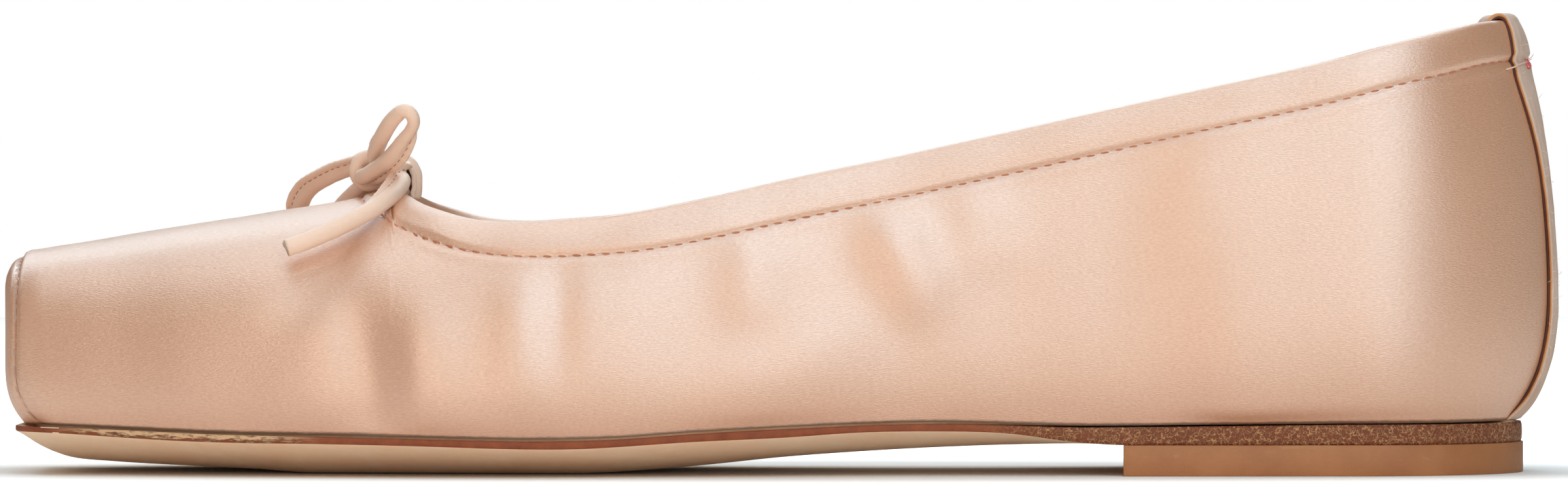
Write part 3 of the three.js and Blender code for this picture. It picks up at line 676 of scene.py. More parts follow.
def add_cord(bm, line, towards, seed, wrinkle=CORD_WRINKLE, bead=1.0, pinch=None):
    """Sweeps the cord's section along a line and closes its ends; the far one shows the core. Its flange
    leans to what `towards` gives, and it thins where it bends over at `pinch` of its length. Its attribute
    holds the distance along and the reach to the flange."""
    profile = cord_profile() * bead
    shares = np.linspace(0, 1, len(line))
    thin = np.ones(len(line)) if pinch is None else 1 - PINCH_DEPTH * bell(shares - pinch, PINCH_SHARE)
    along = unit(np.gradient(line, axis=0))
    lean = np.array([towards(point, share) for point, share in zip(line, shares)], float)
    flange = unit(lean - along * np.sum(lean * along, axis=1, keepdims=True))
    across = np.cross(along, flange)
    distance = np.arange(len(line)) * CORD_STEP
    puckers = PUCKER * np.sin(2 * math.pi * distance / CORD_STITCH_PITCH)
    places = np.zeros((len(line), len(profile), 3))
    for column, point in enumerate(line):
        for row, (reach, side) in enumerate(profile):
            swing = noise.noise(Vector(np.array((distance[column], row, seed)) * WRINKLE_SCALE))
            pucker = puckers[column] if reach > PUCKER_FROM else 0.0
            grow = thin[column] * (1 + wrinkle * swing)
            outwards = flange[column] * (reach * grow)
            places[column, row] = point + outwards + across[column] * (side * grow + pucker)
    seam = np.zeros(places.shape)
    seam[..., 0] = distance[:, None]
    seam[..., 1] = profile[None, :, 0]
    add_grid(bm, places, {"cord_seam": seam})
    close_seams(bm)
    caps = bmesh.ops.holes_fill(bm, edges=[edge for edge in bm.edges if edge.is_boundary], sides=0)["faces"]
    for face in caps:
        centre = np.array(face.calc_center_median())
        is_far = np.linalg.norm(centre - line[-1]) < np.linalg.norm(centre - line[0])
        face.material_index = int(is_far)
    bmesh.ops.recalc_face_normals(bm, faces=bm.faces)


def outward_from(centre):
    return lambda point, share: point - np.array(centre)


def fixed_lean(direction):
    return lambda point, share: np.array(direction, float)


def turning_lean(leans, start, end):
    """Leans one way, then another, turning between two shares of the length."""
    first, second = unit(np.array(leans, float))
    return lambda point, share: lerp(first, second, float(smoothstep(share, start, end)))


def cord_piece(name, line, towards, node, seed, **shape):
    bm = bmesh.new()
    add_cord(bm, line, towards, seed, **shape)
    return finish_piece(name, bm, [LEATHER["bow_leather"], LEATHER["cord_core"]], [node])


def make_cord(name, route, towards, node, far_end, seed, with_pieces=(), **shape):
    line = smooth_curve(route, CORD_STEP)
    piece = cord_piece(name, line, towards, node, seed, **shape)


def knot_line():
    """The cord's turns round the middle of the bow."""
    points = []
    for step in range(KNOT_STEPS + 1):
        turned = KNOT_TURNS * step / KNOT_STEPS
        angle = 2 * math.pi * turned + KNOT_START
        y = KNOT_PITCH * (turned - KNOT_TURNS / 2)
        points.append((KNOT_TURN_RADIUS * math.cos(angle), y, KNOT_TURN_RADIUS * math.sin(angle)))
    return resample(np.array(KNOT_CENTRE) + points, CORD_STEP)


def make_bow():
    knot = cord_piece("bow_knot_turns", knot_line(), fixed_lean((0, 1, 0)), "bow_knot", 5, bead=KNOT_BEAD)
    wrap = smooth_curve(WRAP, CORD_STEP)
    strand = cord_piece("bow_throat_strand", wrap, fixed_lean((0, -1, 0)), "bow_wrap", 6,
                        wrinkle=STRAND_WRINKLE)
    loop_lean = turning_lean(LOOP_OUTER_LEANS, *LOOP_OUTER_TURN)
    make_cord("bow_cord_loop_outer", LOOP_OUTER, loop_lean, "bow_loop_outer", "object", 1, [knot, strand],
              pinch=LOOP_TIP)
    loop_lean = outward_from(LOOP_INNER_MIDDLE)
    make_cord("bow_cord_loop_inner", LOOP_INNER, loop_lean, "bow_loop_inner", "object", 2)
    make_cord("bow_cord_end_outer", TAIL_OUTER, fixed_lean(END_OUTER_LEAN), "bow_tail_outer", "bare", 3,
              bead=END_BEAD)
    make_cord("bow_cord_end_inner", TAIL_INNER, fixed_lean(END_INNER_LEAN), "bow_tail_inner", "bare", 4,
              bead=END_BEAD)


make_bow()


# Surface of the last
def smooth_table(rows):
    """A smooth function through the rows of a table, giving the other columns at x."""
    places = [row[0] for row in rows]
    values = np.array([row[1:] for row in rows], float)
    end = len(places) - 1

    def at(x):
        x = clamp(x, places[0], places[end])
        index = int(clamp(bisect.bisect_right(places, x), 1, end))
        t0, t1 = places[index - 1], places[index]
        v0, v1 = values[index - 1], values[index]
        t_before, v_before = (places[index - 2], values[index - 2]) if index > 1 else (t1, v1)
        t_after, v_after = (places[index + 1], values[index + 1]) if index < end else (2 * t1 - t0, v1)
        part = (x - t0) / (t1 - t0)
        before = (t1 - t0) / 2 / (t0 - t_before)
        after = (t1 - t0) / 2 / (t_after - t1)
        cube = part**3
        square = part**2
        return (
            v_before * (-before * cube + 2 * before * square - before * part)
            + v0 * ((1 + before) * cube - (1.5 + 2 * before) * square + (before - 0.5) * part + 1)
            + v1 * (-(1 + after) * cube + (1.5 + after) * square + 0.5 * part)
            + v_after * after * (cube - square)
        )

    return at


last_at = smooth_table(LAST)
topline_at = smooth_table(TOPLINE)
sole_at = smooth_table(SOLE)


def corner_inset(x, front, radius):
    into = clamp(front + radius - x, 0, radius)
    return radius - math.sqrt(radius * radius - into * into)


def side_plane(x, side):
    outer, inner, edge, crown, swell, turn, square = last_at(x)
    fade = clamp((TUCK_END_X - x) / (TUCK_END_X - SEAM_X))
    return SimpleNamespace(
        centre=(x, (inner - outer) / 2 + AXIS_SHIFT), out=(0.0, side),
        foot=(inner + outer) / 2 - corner_inset(x, TOE_CORNER_FRONT, TOE_CORNER), edge=edge,
        height=crown - edge - corner_inset(x, TOE_FRONT, TOE_BROW), swell=swell, turn=turn, square=square,
        tuck=SEAM_TUCK * fade * fade,
    )


def heel_plane(angle, side):
    plane = side_plane(HEEL_CENTRE_X, side)
    to_back = math.sin(angle) ** 2
    plane.out = (math.sin(angle), side * math.cos(angle))
    plane.foot = lerp(plane.foot, HEEL_BACK_RADIUS, to_back)
    plane.swell = lerp(plane.swell, HEEL_BACK_SWELL, to_back)
    return plane


def profile_point(plane, bend):
    power = 2 / plane.square
    rise = plane.height * math.sin(bend) ** power
    under = max(0.0, 1 - rise / plane.turn) ** 3
    reach = (plane.foot + plane.swell) * max(0.0, math.cos(bend)) ** power - plane.swell * under
    return reach, rise, under


def plane_point(plane, bend):
    reach, rise, under = profile_point(plane, bend)
    x = plane.centre[0] + plane.out[0] * reach + plane.tuck * under
    return x, plane.centre[1] + plane.out[1] * reach, plane.edge + rise


def bend_at_height(plane, z):
    return math.asin(clamp((z - plane.edge) / plane.height) ** (plane.square / 2))


# Columns and rows of the satin, crowded together where its shape turns quickly
TOE_COLUMNS = 44
TOE_CROWDING = 1.4
THROAT_COLUMNS = 30
THROAT_BAND_X = -72.0
SIDE_COLUMNS = 150
TOP_CROWDING = 1.8
TOP_EVEN_FROM = 0.4
HEEL_COLUMNS = 32
FRONT_COLUMNS = TOE_COLUMNS + THROAT_COLUMNS
BODY_ROWS = 40
FOOT_CROWDING = 1.15
CASING_ROWS = 24
CASING_ZONE = 9.0
SAMPLE_SHARES = np.linspace(0, 1, 110)
LINING_OUT = 0.55
FOLD_RADIUS = 0.85
TOPLINE_RISE = 1.0
RISE_FROM_X = 104.0
FOLD_ROWS = 8
FACING_DEPTH = 3.5
FACING_ROWS = 3
THROAT_BLEND = (60, 90)
THROAT_PUFF = 0.8
THROAT_PUFF_X = -54.5
THROAT_PUFF_WIDTH = 4.5


def heel_top_bend(plane, top_x):
    """Bend of a heel plane at the topline, which rises a little more at the back."""
    rise = TOPLINE_RISE * float(smoothstep(top_x, RISE_FROM_X, HEEL_CENTRE_X + HEEL_BACK_RADIUS))
    return bend_at_height(plane, topline_at(top_x)[0] + rise)


def column_planes(side):
    """For each column of a side, the planes and bends of its samples, from the feather edge up."""
    columns = []
    front = [lerp(SEAM_X, THROAT_BAND_X, (step / TOE_COLUMNS) ** TOE_CROWDING) for step in range(TOE_COLUMNS)]
    front += [lerp(THROAT_BAND_X, THROAT_X, step / THROAT_COLUMNS) for step in range(THROAT_COLUMNS)]
    for x in front:
        columns.append([(side_plane(x, side), math.pi / 2 * share) for share in SAMPLE_SHARES])
    for step in range(SIDE_COLUMNS):
        part = step / SIDE_COLUMNS
        even = float(smoothstep(part, 0, TOP_EVEN_FROM))
        foot_x = lerp(THROAT_X, HEEL_CENTRE_X, part)
        top_x = lerp(THROAT_X, HEEL_CENTRE_X, lerp(part**TOP_CROWDING, part, even))
        top_bend = bend_at_height(side_plane(top_x, side), topline_at(top_x)[0])
        planes = [side_plane(lerp(foot_x, top_x, share), side) for share in SAMPLE_SHARES]
        columns.append(list(zip(planes, top_bend * SAMPLE_SHARES)))
    for step in range(HEEL_COLUMNS + 1):
        angle = math.pi / 2 * step / HEEL_COLUMNS
        plane = heel_plane(angle, side)
        top_bend = heel_top_bend(plane, HEEL_CENTRE_X + HEEL_BACK_RADIUS * math.sin(angle))
        columns.append([(plane, top_bend * share) for share in SAMPLE_SHARES])
    return columns


def row_distances(length, is_open):
    top = length - (FOLD_RADIUS if is_open else 0.0)
    body = top - CASING_ZONE
    rows = body * np.linspace(0, 1, BODY_ROWS, endpoint=False) ** FOOT_CROWDING
    return np.concatenate([rows, np.linspace(body, top, CASING_ROWS + 1)])


def side_skin(side):
    """One side's skin: places, normals, and how far each is below its column's top and above its foot."""
    places, below, risen = [], [], []
    for index, column in enumerate(column_planes(side)):
        samples = np.array([plane_point(plane, bend) for plane, bend in column])
        reached = reached_along(samples)
        wanted = row_distances(reached[-1], index >= FRONT_COLUMNS)
        places.append(points_at(samples, reached, wanted))
        below.append(reached[-1] - wanted)
        risen.append(wanted)
    places = np.array(places)
    normals = unit(np.cross(np.gradient(places, axis=0), np.gradient(places, axis=1))) * -side
    normals[:FRONT_COLUMNS, -1, 1] = 0
    normals[-1, :, 1] = 0
    return places, unit(normals), np.array(below), np.array(risen)


def distance_along(points, line):
    """Distance of each point from a line, and how far along the line its nearest place lies."""
    start = line[:-1]
    span = line[1:] - start
    squares = np.maximum((span**2).sum(1), 1e-12)
    reached = np.concatenate([[0], np.cumsum(np.sqrt(squares))])
    best = np.full(len(points), np.inf)
    along = np.zeros(len(points))
    for index in range(len(span)):
        offset = points - start[index]
        part = np.clip(offset @ span[index] / squares[index], 0, 1)
        distance = np.linalg.norm(offset - part[:, None] * span[index], axis=1)
        nearer = distance < best
        best[nearer] = distance[nearer]
        along[nearer] = (reached[index] + part * math.sqrt(squares[index]))[nearer]
    return best, along


# Creases: side, start x and z, end x and z, width towards the toe, width towards the heel,
# height (minus is a trough)
CREASES = [
    (OUTER, -63.8, 39.5, -77.0, 27.0, 4.0, 3.4, -1.05),
    (OUTER, -67.3, 28.5, -63.5, 8.0, 5.0, 5.0, -1.15),
    (OUTER, -56.0, 27.0, -56.4, 9.0, 4.6, 7.0, 0.8),
    (OUTER, -41.3, 30.0, -41.6, 13.0, 4.4, 6.0, 0.8),
    (OUTER, -35.0, 34.0, -35.2, 18.0, 4.0, 3.0, -0.4),
    (OUTER, -30.0, 31.0, -31.0, 15.0, 4.0, 8.0, 0.45),
    (OUTER, -5.0, 37.0, -5.4, 25.0, 4.6, 8.0, 0.95),
    (OUTER, 15.5, 40.0, 22.5, 26.0, 5.0, 7.0, 1.9),
    (OUTER, 30.0, 44.0, 30.8, 33.0, 5.0, 8.0, 0.7),
    (OUTER, 11.0, 22.5, -12.0, 11.5, 6.0, 8.0, 1.0),
    (OUTER, 64.0, 48.0, 61.6, 34.0, 4.0, 4.0, 0.25),
    (OUTER, 68.0, 56.0, 74.0, -14.0, 8.0, 20.0, 1.5),
    (INNER, -62.0, 39.0, -74.0, 28.0, 4.0, 4.0, -0.8),
    (INNER, -64.0, 28.0, -61.0, 8.0, 5.0, 5.0, -0.8),
    (INNER, -53.0, 25.0, -53.6, 9.0, 4.4, 4.4, 0.5),
    (INNER, -42.0, 27.0, -41.0, 12.0, 4.6, 4.6, -0.5),
    (INNER, -9.0, 37.0, -13.0, 23.0, 4.6, 4.6, 0.6),
    (INNER, 10.0, 38.0, 14.0, 26.0, 4.6, 4.6, -0.7),
    (INNER, 19.0, 36.0, 1.0, 20.0, 5.4, 5.4, 0.7),
]
CREASE_END = 1.2
# Slow upright waves left in the cloth by lasting
SWAY_HEIGHT = 0.22
SWAY_SCALE = (0.085, 0.03, 0.03)


def crease_height(places, side):
    total = np.zeros(places.shape[:2])
    x, z = places[..., 0], places[..., 2]
    for crease_side, x0, z0, x1, z1, toe_width, heel_width, height in CREASES:
        if crease_side != side:
            continue
        run_x, run_z = x1 - x0, z1 - z0
        length = math.hypot(run_x, run_z)
        along = ((x - x0) * run_x + (z - z0) * run_z) / length**2
        off = ((x - x0) * run_z - (z - z0) * run_x) / length
        width = np.where(off > 0, toe_width, heel_width)
        total += height * bell(off, width) * np.exp(-(np.abs(2 * along - 1) / CREASE_END) ** 3)
    return total


def uneven(places, scale, seed):
    """Soft waves of about +-1; the scale gives how quickly they turn along each axis."""
    shift = Vector((seed, seed, seed))
    flat = [noise.noise(Vector(place * scale) + shift) for place in places.reshape(-1, 3)]
    return np.array(flat).reshape(places.shape[:2])


# Relief beside the casing's stitch row and the toe seam: height, distance off the row and width
ROW_RELIEF = [(-0.18, 0.0, 0.3), (0.12, 1.3, 0.8)]
SEAM_RELIEF = [(-0.42, 0.0, 0.42), (0.16, 1.1, 0.7)]
CASING_PUFF = 0.4
CASING_FULLNESS = 0.8
CASING_EDGE = (-0.2, 0.8)
SEAM_COLUMNS = 12
FAR_FROM_SEAM = 30.0
FAR_FROM_TOPLINE = 60.0
CREASE_FADE = (CASING_WIDTH * 0.5, CASING_WIDTH + 2.0)
FOOT_FADE = (-0.5, 3.0)
# Radius that turns angles round the heel to lengths, and the shift between the weaves of the two sides
HEEL_ROUND = 31.0
CLOTH_SHIFT = 40.0


def ridges(distance, rows):
    """Soft ridges and grooves that lie at these distances."""
    return sum(height * bell(distance - place, width) for height, place, width in rows)


def casing_height(distance):
    """The casing's puff, the groove of its stitch row and the slight swell beside it."""
    inside = np.clip(distance / CASING_WIDTH, 0, 1)
    puff = CASING_STEP + CASING_PUFF * np.sin(math.pi * inside) ** CASING_FULLNESS
    puff = np.where(distance < CASING_WIDTH, puff, 0.0) * smoothstep(CASING_WIDTH - distance, *CASING_EDGE)
    return puff + ridges(distance - CASING_WIDTH, ROW_RELIEF)


def casing_row(outer, all_normals, distances):
    """Places and normals along the casing's stitch row, from the middle of the throat to the back strip."""
    points, normals = [], []
    for column, distance in enumerate(distances):
        for row in range(len(distance) - 1, 0, -1):
            if distance[row] <= CASING_WIDTH < distance[row - 1]:
                part = (CASING_WIDTH - distance[row]) / (distance[row - 1] - distance[row])
                points.append(lerp(outer[column, row], outer[column, row - 1], part))
                normals.append(all_normals[column, row])
                break
    return np.array(points), np.array(normals)


def build_sides():
    """Both sides of the satin with everything that later pieces need from them."""
    skins = {side: side_skin(side) for side in (OUTER, INNER)}
    tops = {side: skins[side][0][FRONT_COLUMNS:, -1] for side in skins}
    built = {}
    for side, (places, normals, below, risen) in skins.items():
        x = places[..., 0]
        none = np.zeros(below.shape)
        flat = places.reshape(-1, 3)
        from_top, _ = distance_along(flat, np.vstack([tops[side][::-1], tops[-side][1:]]))
        past_throat = smoothstep(np.arange(len(below)) - FRONT_COLUMNS, *THROAT_BLEND)[:, None]
        distance = lerp(from_top.reshape(below.shape) + FOLD_RADIUS, below, past_throat)
        seam_off, seam_along = distance_along(places[:SEAM_COLUMNS].reshape(-1, 3), places[0])
        seam_distance = none + FAR_FROM_SEAM
        seam_distance[:SEAM_COLUMNS] = seam_off.reshape(SEAM_COLUMNS, -1)
        seam_reached = none.copy()
        seam_reached[:SEAM_COLUMNS] = seam_along.reshape(SEAM_COLUMNS, -1)
        throat_puff = 1 + THROAT_PUFF * bell(x - THROAT_PUFF_X, THROAT_PUFF_WIDTH)
        lift = casing_height(distance) * throat_puff + ridges(seam_distance, SEAM_RELIEF)
        lift += SWAY_HEIGHT * uneven(places, np.array(SWAY_SCALE), 3.0 + side)
        creases = crease_height(places, side) * smoothstep(distance, *CREASE_FADE)
        from_foot = smoothstep(places[..., 2] - places[:, :1, 2], *FOOT_FADE)
        outer = places + normals * ((lift + creases) * from_foot)[..., None]
        lining = places + normals * (creases * from_foot - LINING_OUT)[..., None]
        angle = np.arctan2(x - HEEL_CENTRE_X, side * (places[..., 1] - AXIS_SHIFT))
        around = np.where(x < HEEL_CENTRE_X, x, HEEL_CENTRE_X + HEEL_ROUND * angle)
        row_line, _ = casing_row(outer, normals, distance)
        _, row_reached = distance_along(flat, row_line)
        attributes = {
            "cloth": np.stack([around, risen, none + CLOTH_SHIFT * side], axis=2),
            "topline": np.stack([row_reached.reshape(below.shape), distance, none], axis=2),
            "toe_seam": np.stack([seam_reached, seam_distance, none], axis=2),
        }
        built[side] = SimpleNamespace(places=places, normals=normals, outer=outer, lining=lining,
                                      distance=distance, attributes=attributes)
    return built


SIDES = build_sides()
PANEL_INSETS = [0, 0.22, 0.45, 0.75, 1.1, 1.6, 2.2, 3.0, 4.0]
PANEL_SHARES = [0.3, 0.42, 0.55, 0.7, 0.85, 1.0]
PANEL_SEAM_FADE = (8.0, 11.0)


def panel_places():
    """The front toe panel, fanned out from the middle of its foot to the seam."""
    seam = np.vstack([SIDES[OUTER].outer[0], SIDES[INNER].outer[0][-2::-1]])
    base = np.vstack([SIDES[OUTER].places[0], SIDES[INNER].places[0][-2::-1]])
    plane = side_plane(SEAM_X, OUTER)
    middle = np.array([TOE_FRONT + FRONT_TUCK, plane.centre[1], (seam[0, 2] + seam[-1, 2]) / 2])
    places = np.zeros((len(seam), len(PANEL_INSETS) + len(PANEL_SHARES), 3))
    for column, point in enumerate(seam):
        ray = np.linalg.norm((middle - point)[1:])
        shares = [inset / ray for inset in PANEL_INSETS]
        shares += [lerp(shares[-1], 1.0, share) for share in PANEL_SHARES]
        places[column] = [lerp(point, middle, share) for share in shares]
    inside, _ = distance_along((places * (0, 1, 1)).reshape(-1, 3), base * (0, 1, 1))
    offs = inside.reshape(places.shape[:2])
    turn_in = 1 - np.minimum(PANEL_ROUNDING, offs) / PANEL_ROUNDING
    most = TOE_CORNER - math.sqrt(TOE_CORNER**2 - PANEL_ROUNDING**2)
    back = (TOE_CORNER - np.sqrt(TOE_CORNER**2 - (PANEL_ROUNDING * turn_in) ** 2)) / most
    front = TOE_FRONT + TOE_BOW * ((places[..., 1] - plane.centre[1]) / TOE_BOW_HALF_WIDTH) ** 2
    under = np.maximum(0, 1 - (places[..., 2] - plane.edge) / plane.turn) ** 3
    x = lerp(front, SEAM_X, back) + lerp(FRONT_TUCK, SEAM_TUCK, back) * under
    x -= ridges(offs, SEAM_RELIEF) * smoothstep(places[..., 2], *PANEL_SEAM_FADE)
    places[:, 1:, 0] = x[:, 1:]
    reached = reached_along(base)
    half = reached[len(SIDES[OUTER].places[0]) - 1]
    from_foot = np.minimum(reached, 2 * half - reached)[:, None]
    none = np.zeros(offs.shape)
    return places, {
        "cloth": np.stack([places[..., 1], places[..., 2], none], axis=2),
        "topline": np.stack([none, none + FAR_FROM_TOPLINE, none], axis=2),
        "toe_seam": np.stack([none + from_foot, offs, none], axis=2),
    }


def fold_places(side):
    """The topline's fold: a half round over the edge and a facing down the inside."""
    built = SIDES[side]
    top = built.outer[FRONT_COLUMNS:, -1]
    normal = built.normals[FRONT_COLUMNS:, -1]
    up = unit(built.places[FRONT_COLUMNS:, -1] - built.places[FRONT_COLUMNS:, -3])
    rows = [top]
    for step in range(1, FOLD_ROWS + 1):
        angle = math.pi * step / FOLD_ROWS
        rows.append(top + normal * FOLD_RADIUS * (math.cos(angle) - 1) + up * FOLD_RADIUS * math.sin(angle))
    for step in range(1, FACING_ROWS + 1):
        rows.append(top - normal * 2 * FOLD_RADIUS - up * FACING_DEPTH * step / FACING_ROWS)
    places = np.stack(rows, axis=1)
    over = np.linspace(0, FOLD_RADIUS * 3 + FACING_DEPTH, places.shape[1])[None, :]
    attributes = {}
    for label, values in built.attributes.items():
        attributes[label] = values[FRONT_COLUMNS:, -1:].repeat(places.shape[1], 1).copy()
    attributes["cloth"][..., 1] += over
    return places, attributes


def solidify(piece, thickness, rim_material=0):
    """Gives a surface a wall of this thickness behind it."""
    wall = piece.modifiers.new("wall", "SOLIDIFY")
    wall.thickness = thickness * METRES
    wall.offset = -1.0
    wall.material_offset_rim = rim_material


def close_up(bm, probe, wanted):
    """Joins the seams, then turns all faces if the one nearest the probe looks away from the wanted way."""
    close_seams(bm)
    nearest = min(bm.faces, key=lambda face: (face.calc_center_median() - Vector(probe)).length_squared)
    if nearest.normal.dot(Vector(wanted)) < 0:
        bmesh.ops.reverse_faces(bm, faces=bm.faces)


SATIN_THICKNESS = 0.4
LINING_THICKNESS = 0.7
LINING_DROP_ROWS = 5
SIDE_PROBE = (0, -34, 25)


def make_upper():
    bm = bmesh.new()
    for side, built in SIDES.items():
        add_grid(bm, built.outer, built.attributes)
        add_grid(bm, *fold_places(side))
    add_grid(bm, *panel_places())
    close_up(bm, SIDE_PROBE, (0, -1, 0))
    piece = finish_piece("satin_upper", bm, [SATIN], ["upper"])
    solidify(piece, SATIN_THICKNESS)


def make_lining():
    """Leather lining, from the feather edge to under the facing, closed over the toe."""
    bm = bmesh.new()
    for built in SIDES.values():
        add_grid(bm, built.lining[1:FRONT_COLUMNS + 1:3, ::2])
        add_grid(bm, built.lining[FRONT_COLUMNS::2, :-LINING_DROP_ROWS:2])
    close_up(bm, SIDE_PROBE, (0, -1, 0))
    piece = finish_piece("upper_lining", bm, [LEATHER["lining_leather"]])
    solidify(piece, LINING_THICKNESS)


make_upper()
make_lining()


# Stitches: short thread floats along a row, all in one mesh
STITCH_LENGTH = 1.45
SEAM_STITCH_LENGTH = 1.4
STITCH_RADIUS = 0.17
STITCH_RISE = 0.02
STITCH_SLANT = 0.1
STITCH_AHEAD = 0.4
SEAM_LEAN = (-0.6, 0, 0)


def add_stitches(bm, line, normals, pitch, length, slant=0.0):
    reached = reached_along(line)
    for distance in np.arange(pitch, reached[-1] - pitch / 2, pitch):
        centre = Vector(points_at(line, reached, distance))
        ahead = Vector(points_at(line, reached, distance + STITCH_AHEAD))
        normal = Vector(points_at(normals, reached, distance)).normalized()
        along = (ahead - centre).normalized()
        across = normal.cross(along).normalized()
        along = (along + across * slant).normalized()
        across = normal.cross(along).normalized()
        turn = Matrix((along, across, normal)).transposed().to_4x4()
        size = Matrix.Diagonal((length / 2, STITCH_RADIUS, STITCH_RADIUS, 1.0))
        place = Matrix.Translation(centre + normal * STITCH_RISE)
        bmesh.ops.create_uvsphere(bm, u_segments=8, v_segments=6, radius=1.0, matrix=place @ turn @ size)


def make_stitches():
    topline = bmesh.new()
    toe_seam = bmesh.new()
    for side, built in SIDES.items():
        points, normals = casing_row(built.outer, built.normals, built.distance)
        add_stitches(topline, points, normals, STITCH_PITCH, STITCH_LENGTH, STITCH_SLANT * side)
        normals = unit(built.normals[0] + np.array(SEAM_LEAN))
        add_stitches(toe_seam, built.outer[0], normals, SEAM_PITCH, SEAM_STITCH_LENGTH)
    finish_piece("topline_stitches", topline, [LEATHER["stitch_thread"]])
    finish_piece("toe_seam_stitches", toe_seam, [LEATHER["stitch_thread"]])


make_stitches()


# Sole, insole and heel lift
PLATE_SIDE_COLUMNS = 130
PLATE_CROWDING = 1.25
PLATE_HEEL_COLUMNS = 34
PLATE_CAP_COLUMNS = 8
PLATE_SPINE = 10.0
PLATE_PROBE = (0, 0, 0)


def sole_half_width(plane):
    squared = plane.foot + corner_inset(plane.centre[0], TOE_CORNER_FRONT, TOE_CORNER)
    return squared + SOLE_LIP - corner_inset(plane.centre[0], SOLE_FRONT, SOLE_CORNER)


def turn_up(share):
    return max(0.0, (share - FLAT_SHARE) / (1 - FLAT_SHARE)) ** 2


def sole_underside(plane, share):
    x = plane.centre[0]
    if x >= HEEL_BREAST_X:
        return HEEL_HEIGHT
    rim, tread = sole_at(x)
    return lerp(max(0.0, tread), rim, turn_up(share))


def sole_top(plane, share):
    rim = plane.edge - SEAT_GAP
    middle = min(rim, sole_underside(plane, 0) + SOLE_THICKNESS)
    return lerp(middle, rim, turn_up(share))


def rim_place(plane, distance):
    """The place this far out from the plane's centre."""
    return plane.centre[0] + plane.out[0] * distance, plane.centre[1] + plane.out[1] * distance


def plate_rays(side, front_x, reach):
    """Each column's spine place and rim place and, at the heel, the plane that rules its heights."""
    rays = []
    first = side_plane(front_x, side)
    spine_x = front_x + PLATE_SPINE
    spine_y = side_plane(spine_x, side).centre[1]
    for step in range(PLATE_CAP_COLUMNS):
        rays.append(((spine_x, spine_y), rim_place(first, reach(first) * step / PLATE_CAP_COLUMNS), None))
    for step in range(PLATE_SIDE_COLUMNS):
        plane = side_plane(lerp(front_x, HEEL_CENTRE_X, (step / PLATE_SIDE_COLUMNS) ** PLATE_CROWDING), side)
        x = max(plane.centre[0], spine_x)
        rays.append(((x, side_plane(x, side).centre[1]), rim_place(plane, reach(plane)), None))
    for step in range(PLATE_HEEL_COLUMNS + 1):
        plane = heel_plane(math.pi / 2 * step / PLATE_HEEL_COLUMNS, side)
        rays.append((plane.centre, rim_place(plane, reach(plane)), plane))
    return rays


def plate_section(under, top, under_shares, edge, top_shares):
    """A closed section: rows of share of the ray, height function and push outwards. The edge's rows have the
    share of the thickness and the push."""

    def edge_height(part):
        return lambda plane, share: lerp(under(plane, share), top(plane, share), part)

    section = [(share, under, 0.0) for share in under_shares]
    section += [(1.0, edge_height(part), push) for part, push in edge]
    return section + [(share, top, 0.0) for share in top_shares]


def plate_places(side, front_x, reach, section):
    """The section swept along one side of the plate."""
    columns = []
    for spine, rim, heel in plate_rays(side, front_x, reach):
        column = []
        for share, height, push in section:
            x = lerp(spine[0], rim[0], share)
            y = lerp(spine[1], rim[1], share)
            plane = heel or side_plane(x, side)
            own_share = share if heel else clamp(abs(y - plane.centre[1]) / max(reach(plane), 1e-6))
            out = Vector((rim[0] - spine[0], rim[1] - spine[1])).normalized() * push
            column.append((x + out.x, y + out.y, height(plane, own_share)))
        columns.append(column)
    return np.array(columns)


SOLE_UNDER_SHARES = [0, 0.15, FLAT_SHARE, 0.4, 0.52, 0.64, 0.75, 0.84, 0.91, 0.96, 0.99]
SOLE_TOP_SHARES = [0.985, 0.95, 0.88, 0.75, 0.55, FLAT_SHARE, 0]
EDGE_ROWS = 7
EDGE_BULGE = 0.22
EDGE_INSET = 0.1
EDGE_STEEPNESS = 0.8
# Roughness of the sole's edge: turns per millimetre and height
EDGE_NOISE = [(0.9, 0.1), (2.6, 0.05)]


def make_outsole():
    parts = np.linspace(0, 1, EDGE_ROWS + 1)
    edge = [(part, EDGE_BULGE * (1 - (2 * part - 1) ** 4) - EDGE_INSET) for part in parts]
    section = plate_section(sole_underside, sole_top, SOLE_UNDER_SHARES, edge, SOLE_TOP_SHARES)
    first = len(SOLE_UNDER_SHARES)
    bm = bmesh.new()
    for side in (OUTER, INNER):
        places = plate_places(side, SOLE_FRONT, sole_half_width, section)
        up = np.zeros(places.shape[:2])
        up[:, first:first + EDGE_ROWS + 1] = parts
        is_edge = np.zeros(places.shape[:2])
        is_edge[:, first + 1:first + EDGE_ROWS] = 1
        roughen = sum(height * uneven(places, scale, 0.0) for scale, height in EDGE_NOISE)
        places[..., 1] += side * roughen * is_edge
        add_grid(bm, places, {"edge": np.stack([places[..., 0], up, is_edge], axis=2)})
    close_up(bm, PLATE_PROBE, (0, 0, -1))
    layer = bm.verts.layers.float_vector["edge"]
    for face in bm.faces:
        on_edge = sum(vert[layer].y + vert[layer].z for vert in face.verts) > 0.5
        face.material_index = int(on_edge and abs(face.normal.z) < EDGE_STEEPNESS)
    finish_piece("leather_outsole", bm, [LEATHER["sole_leather"], SOLE_EDGE], ["outsole"])


INSOLE_UNDER_SHARES = [0, 0.3, 0.6, 0.85, 0.98]
INSOLE_TOP_SHARES = [0.985, 0.95, 0.88, 0.75, 0.6, 0.45, 0.3, 0.15, 0]
INSOLE_EDGE = [(0.15, 0.1), (0.5, 0.2), (0.85, 0.1)]


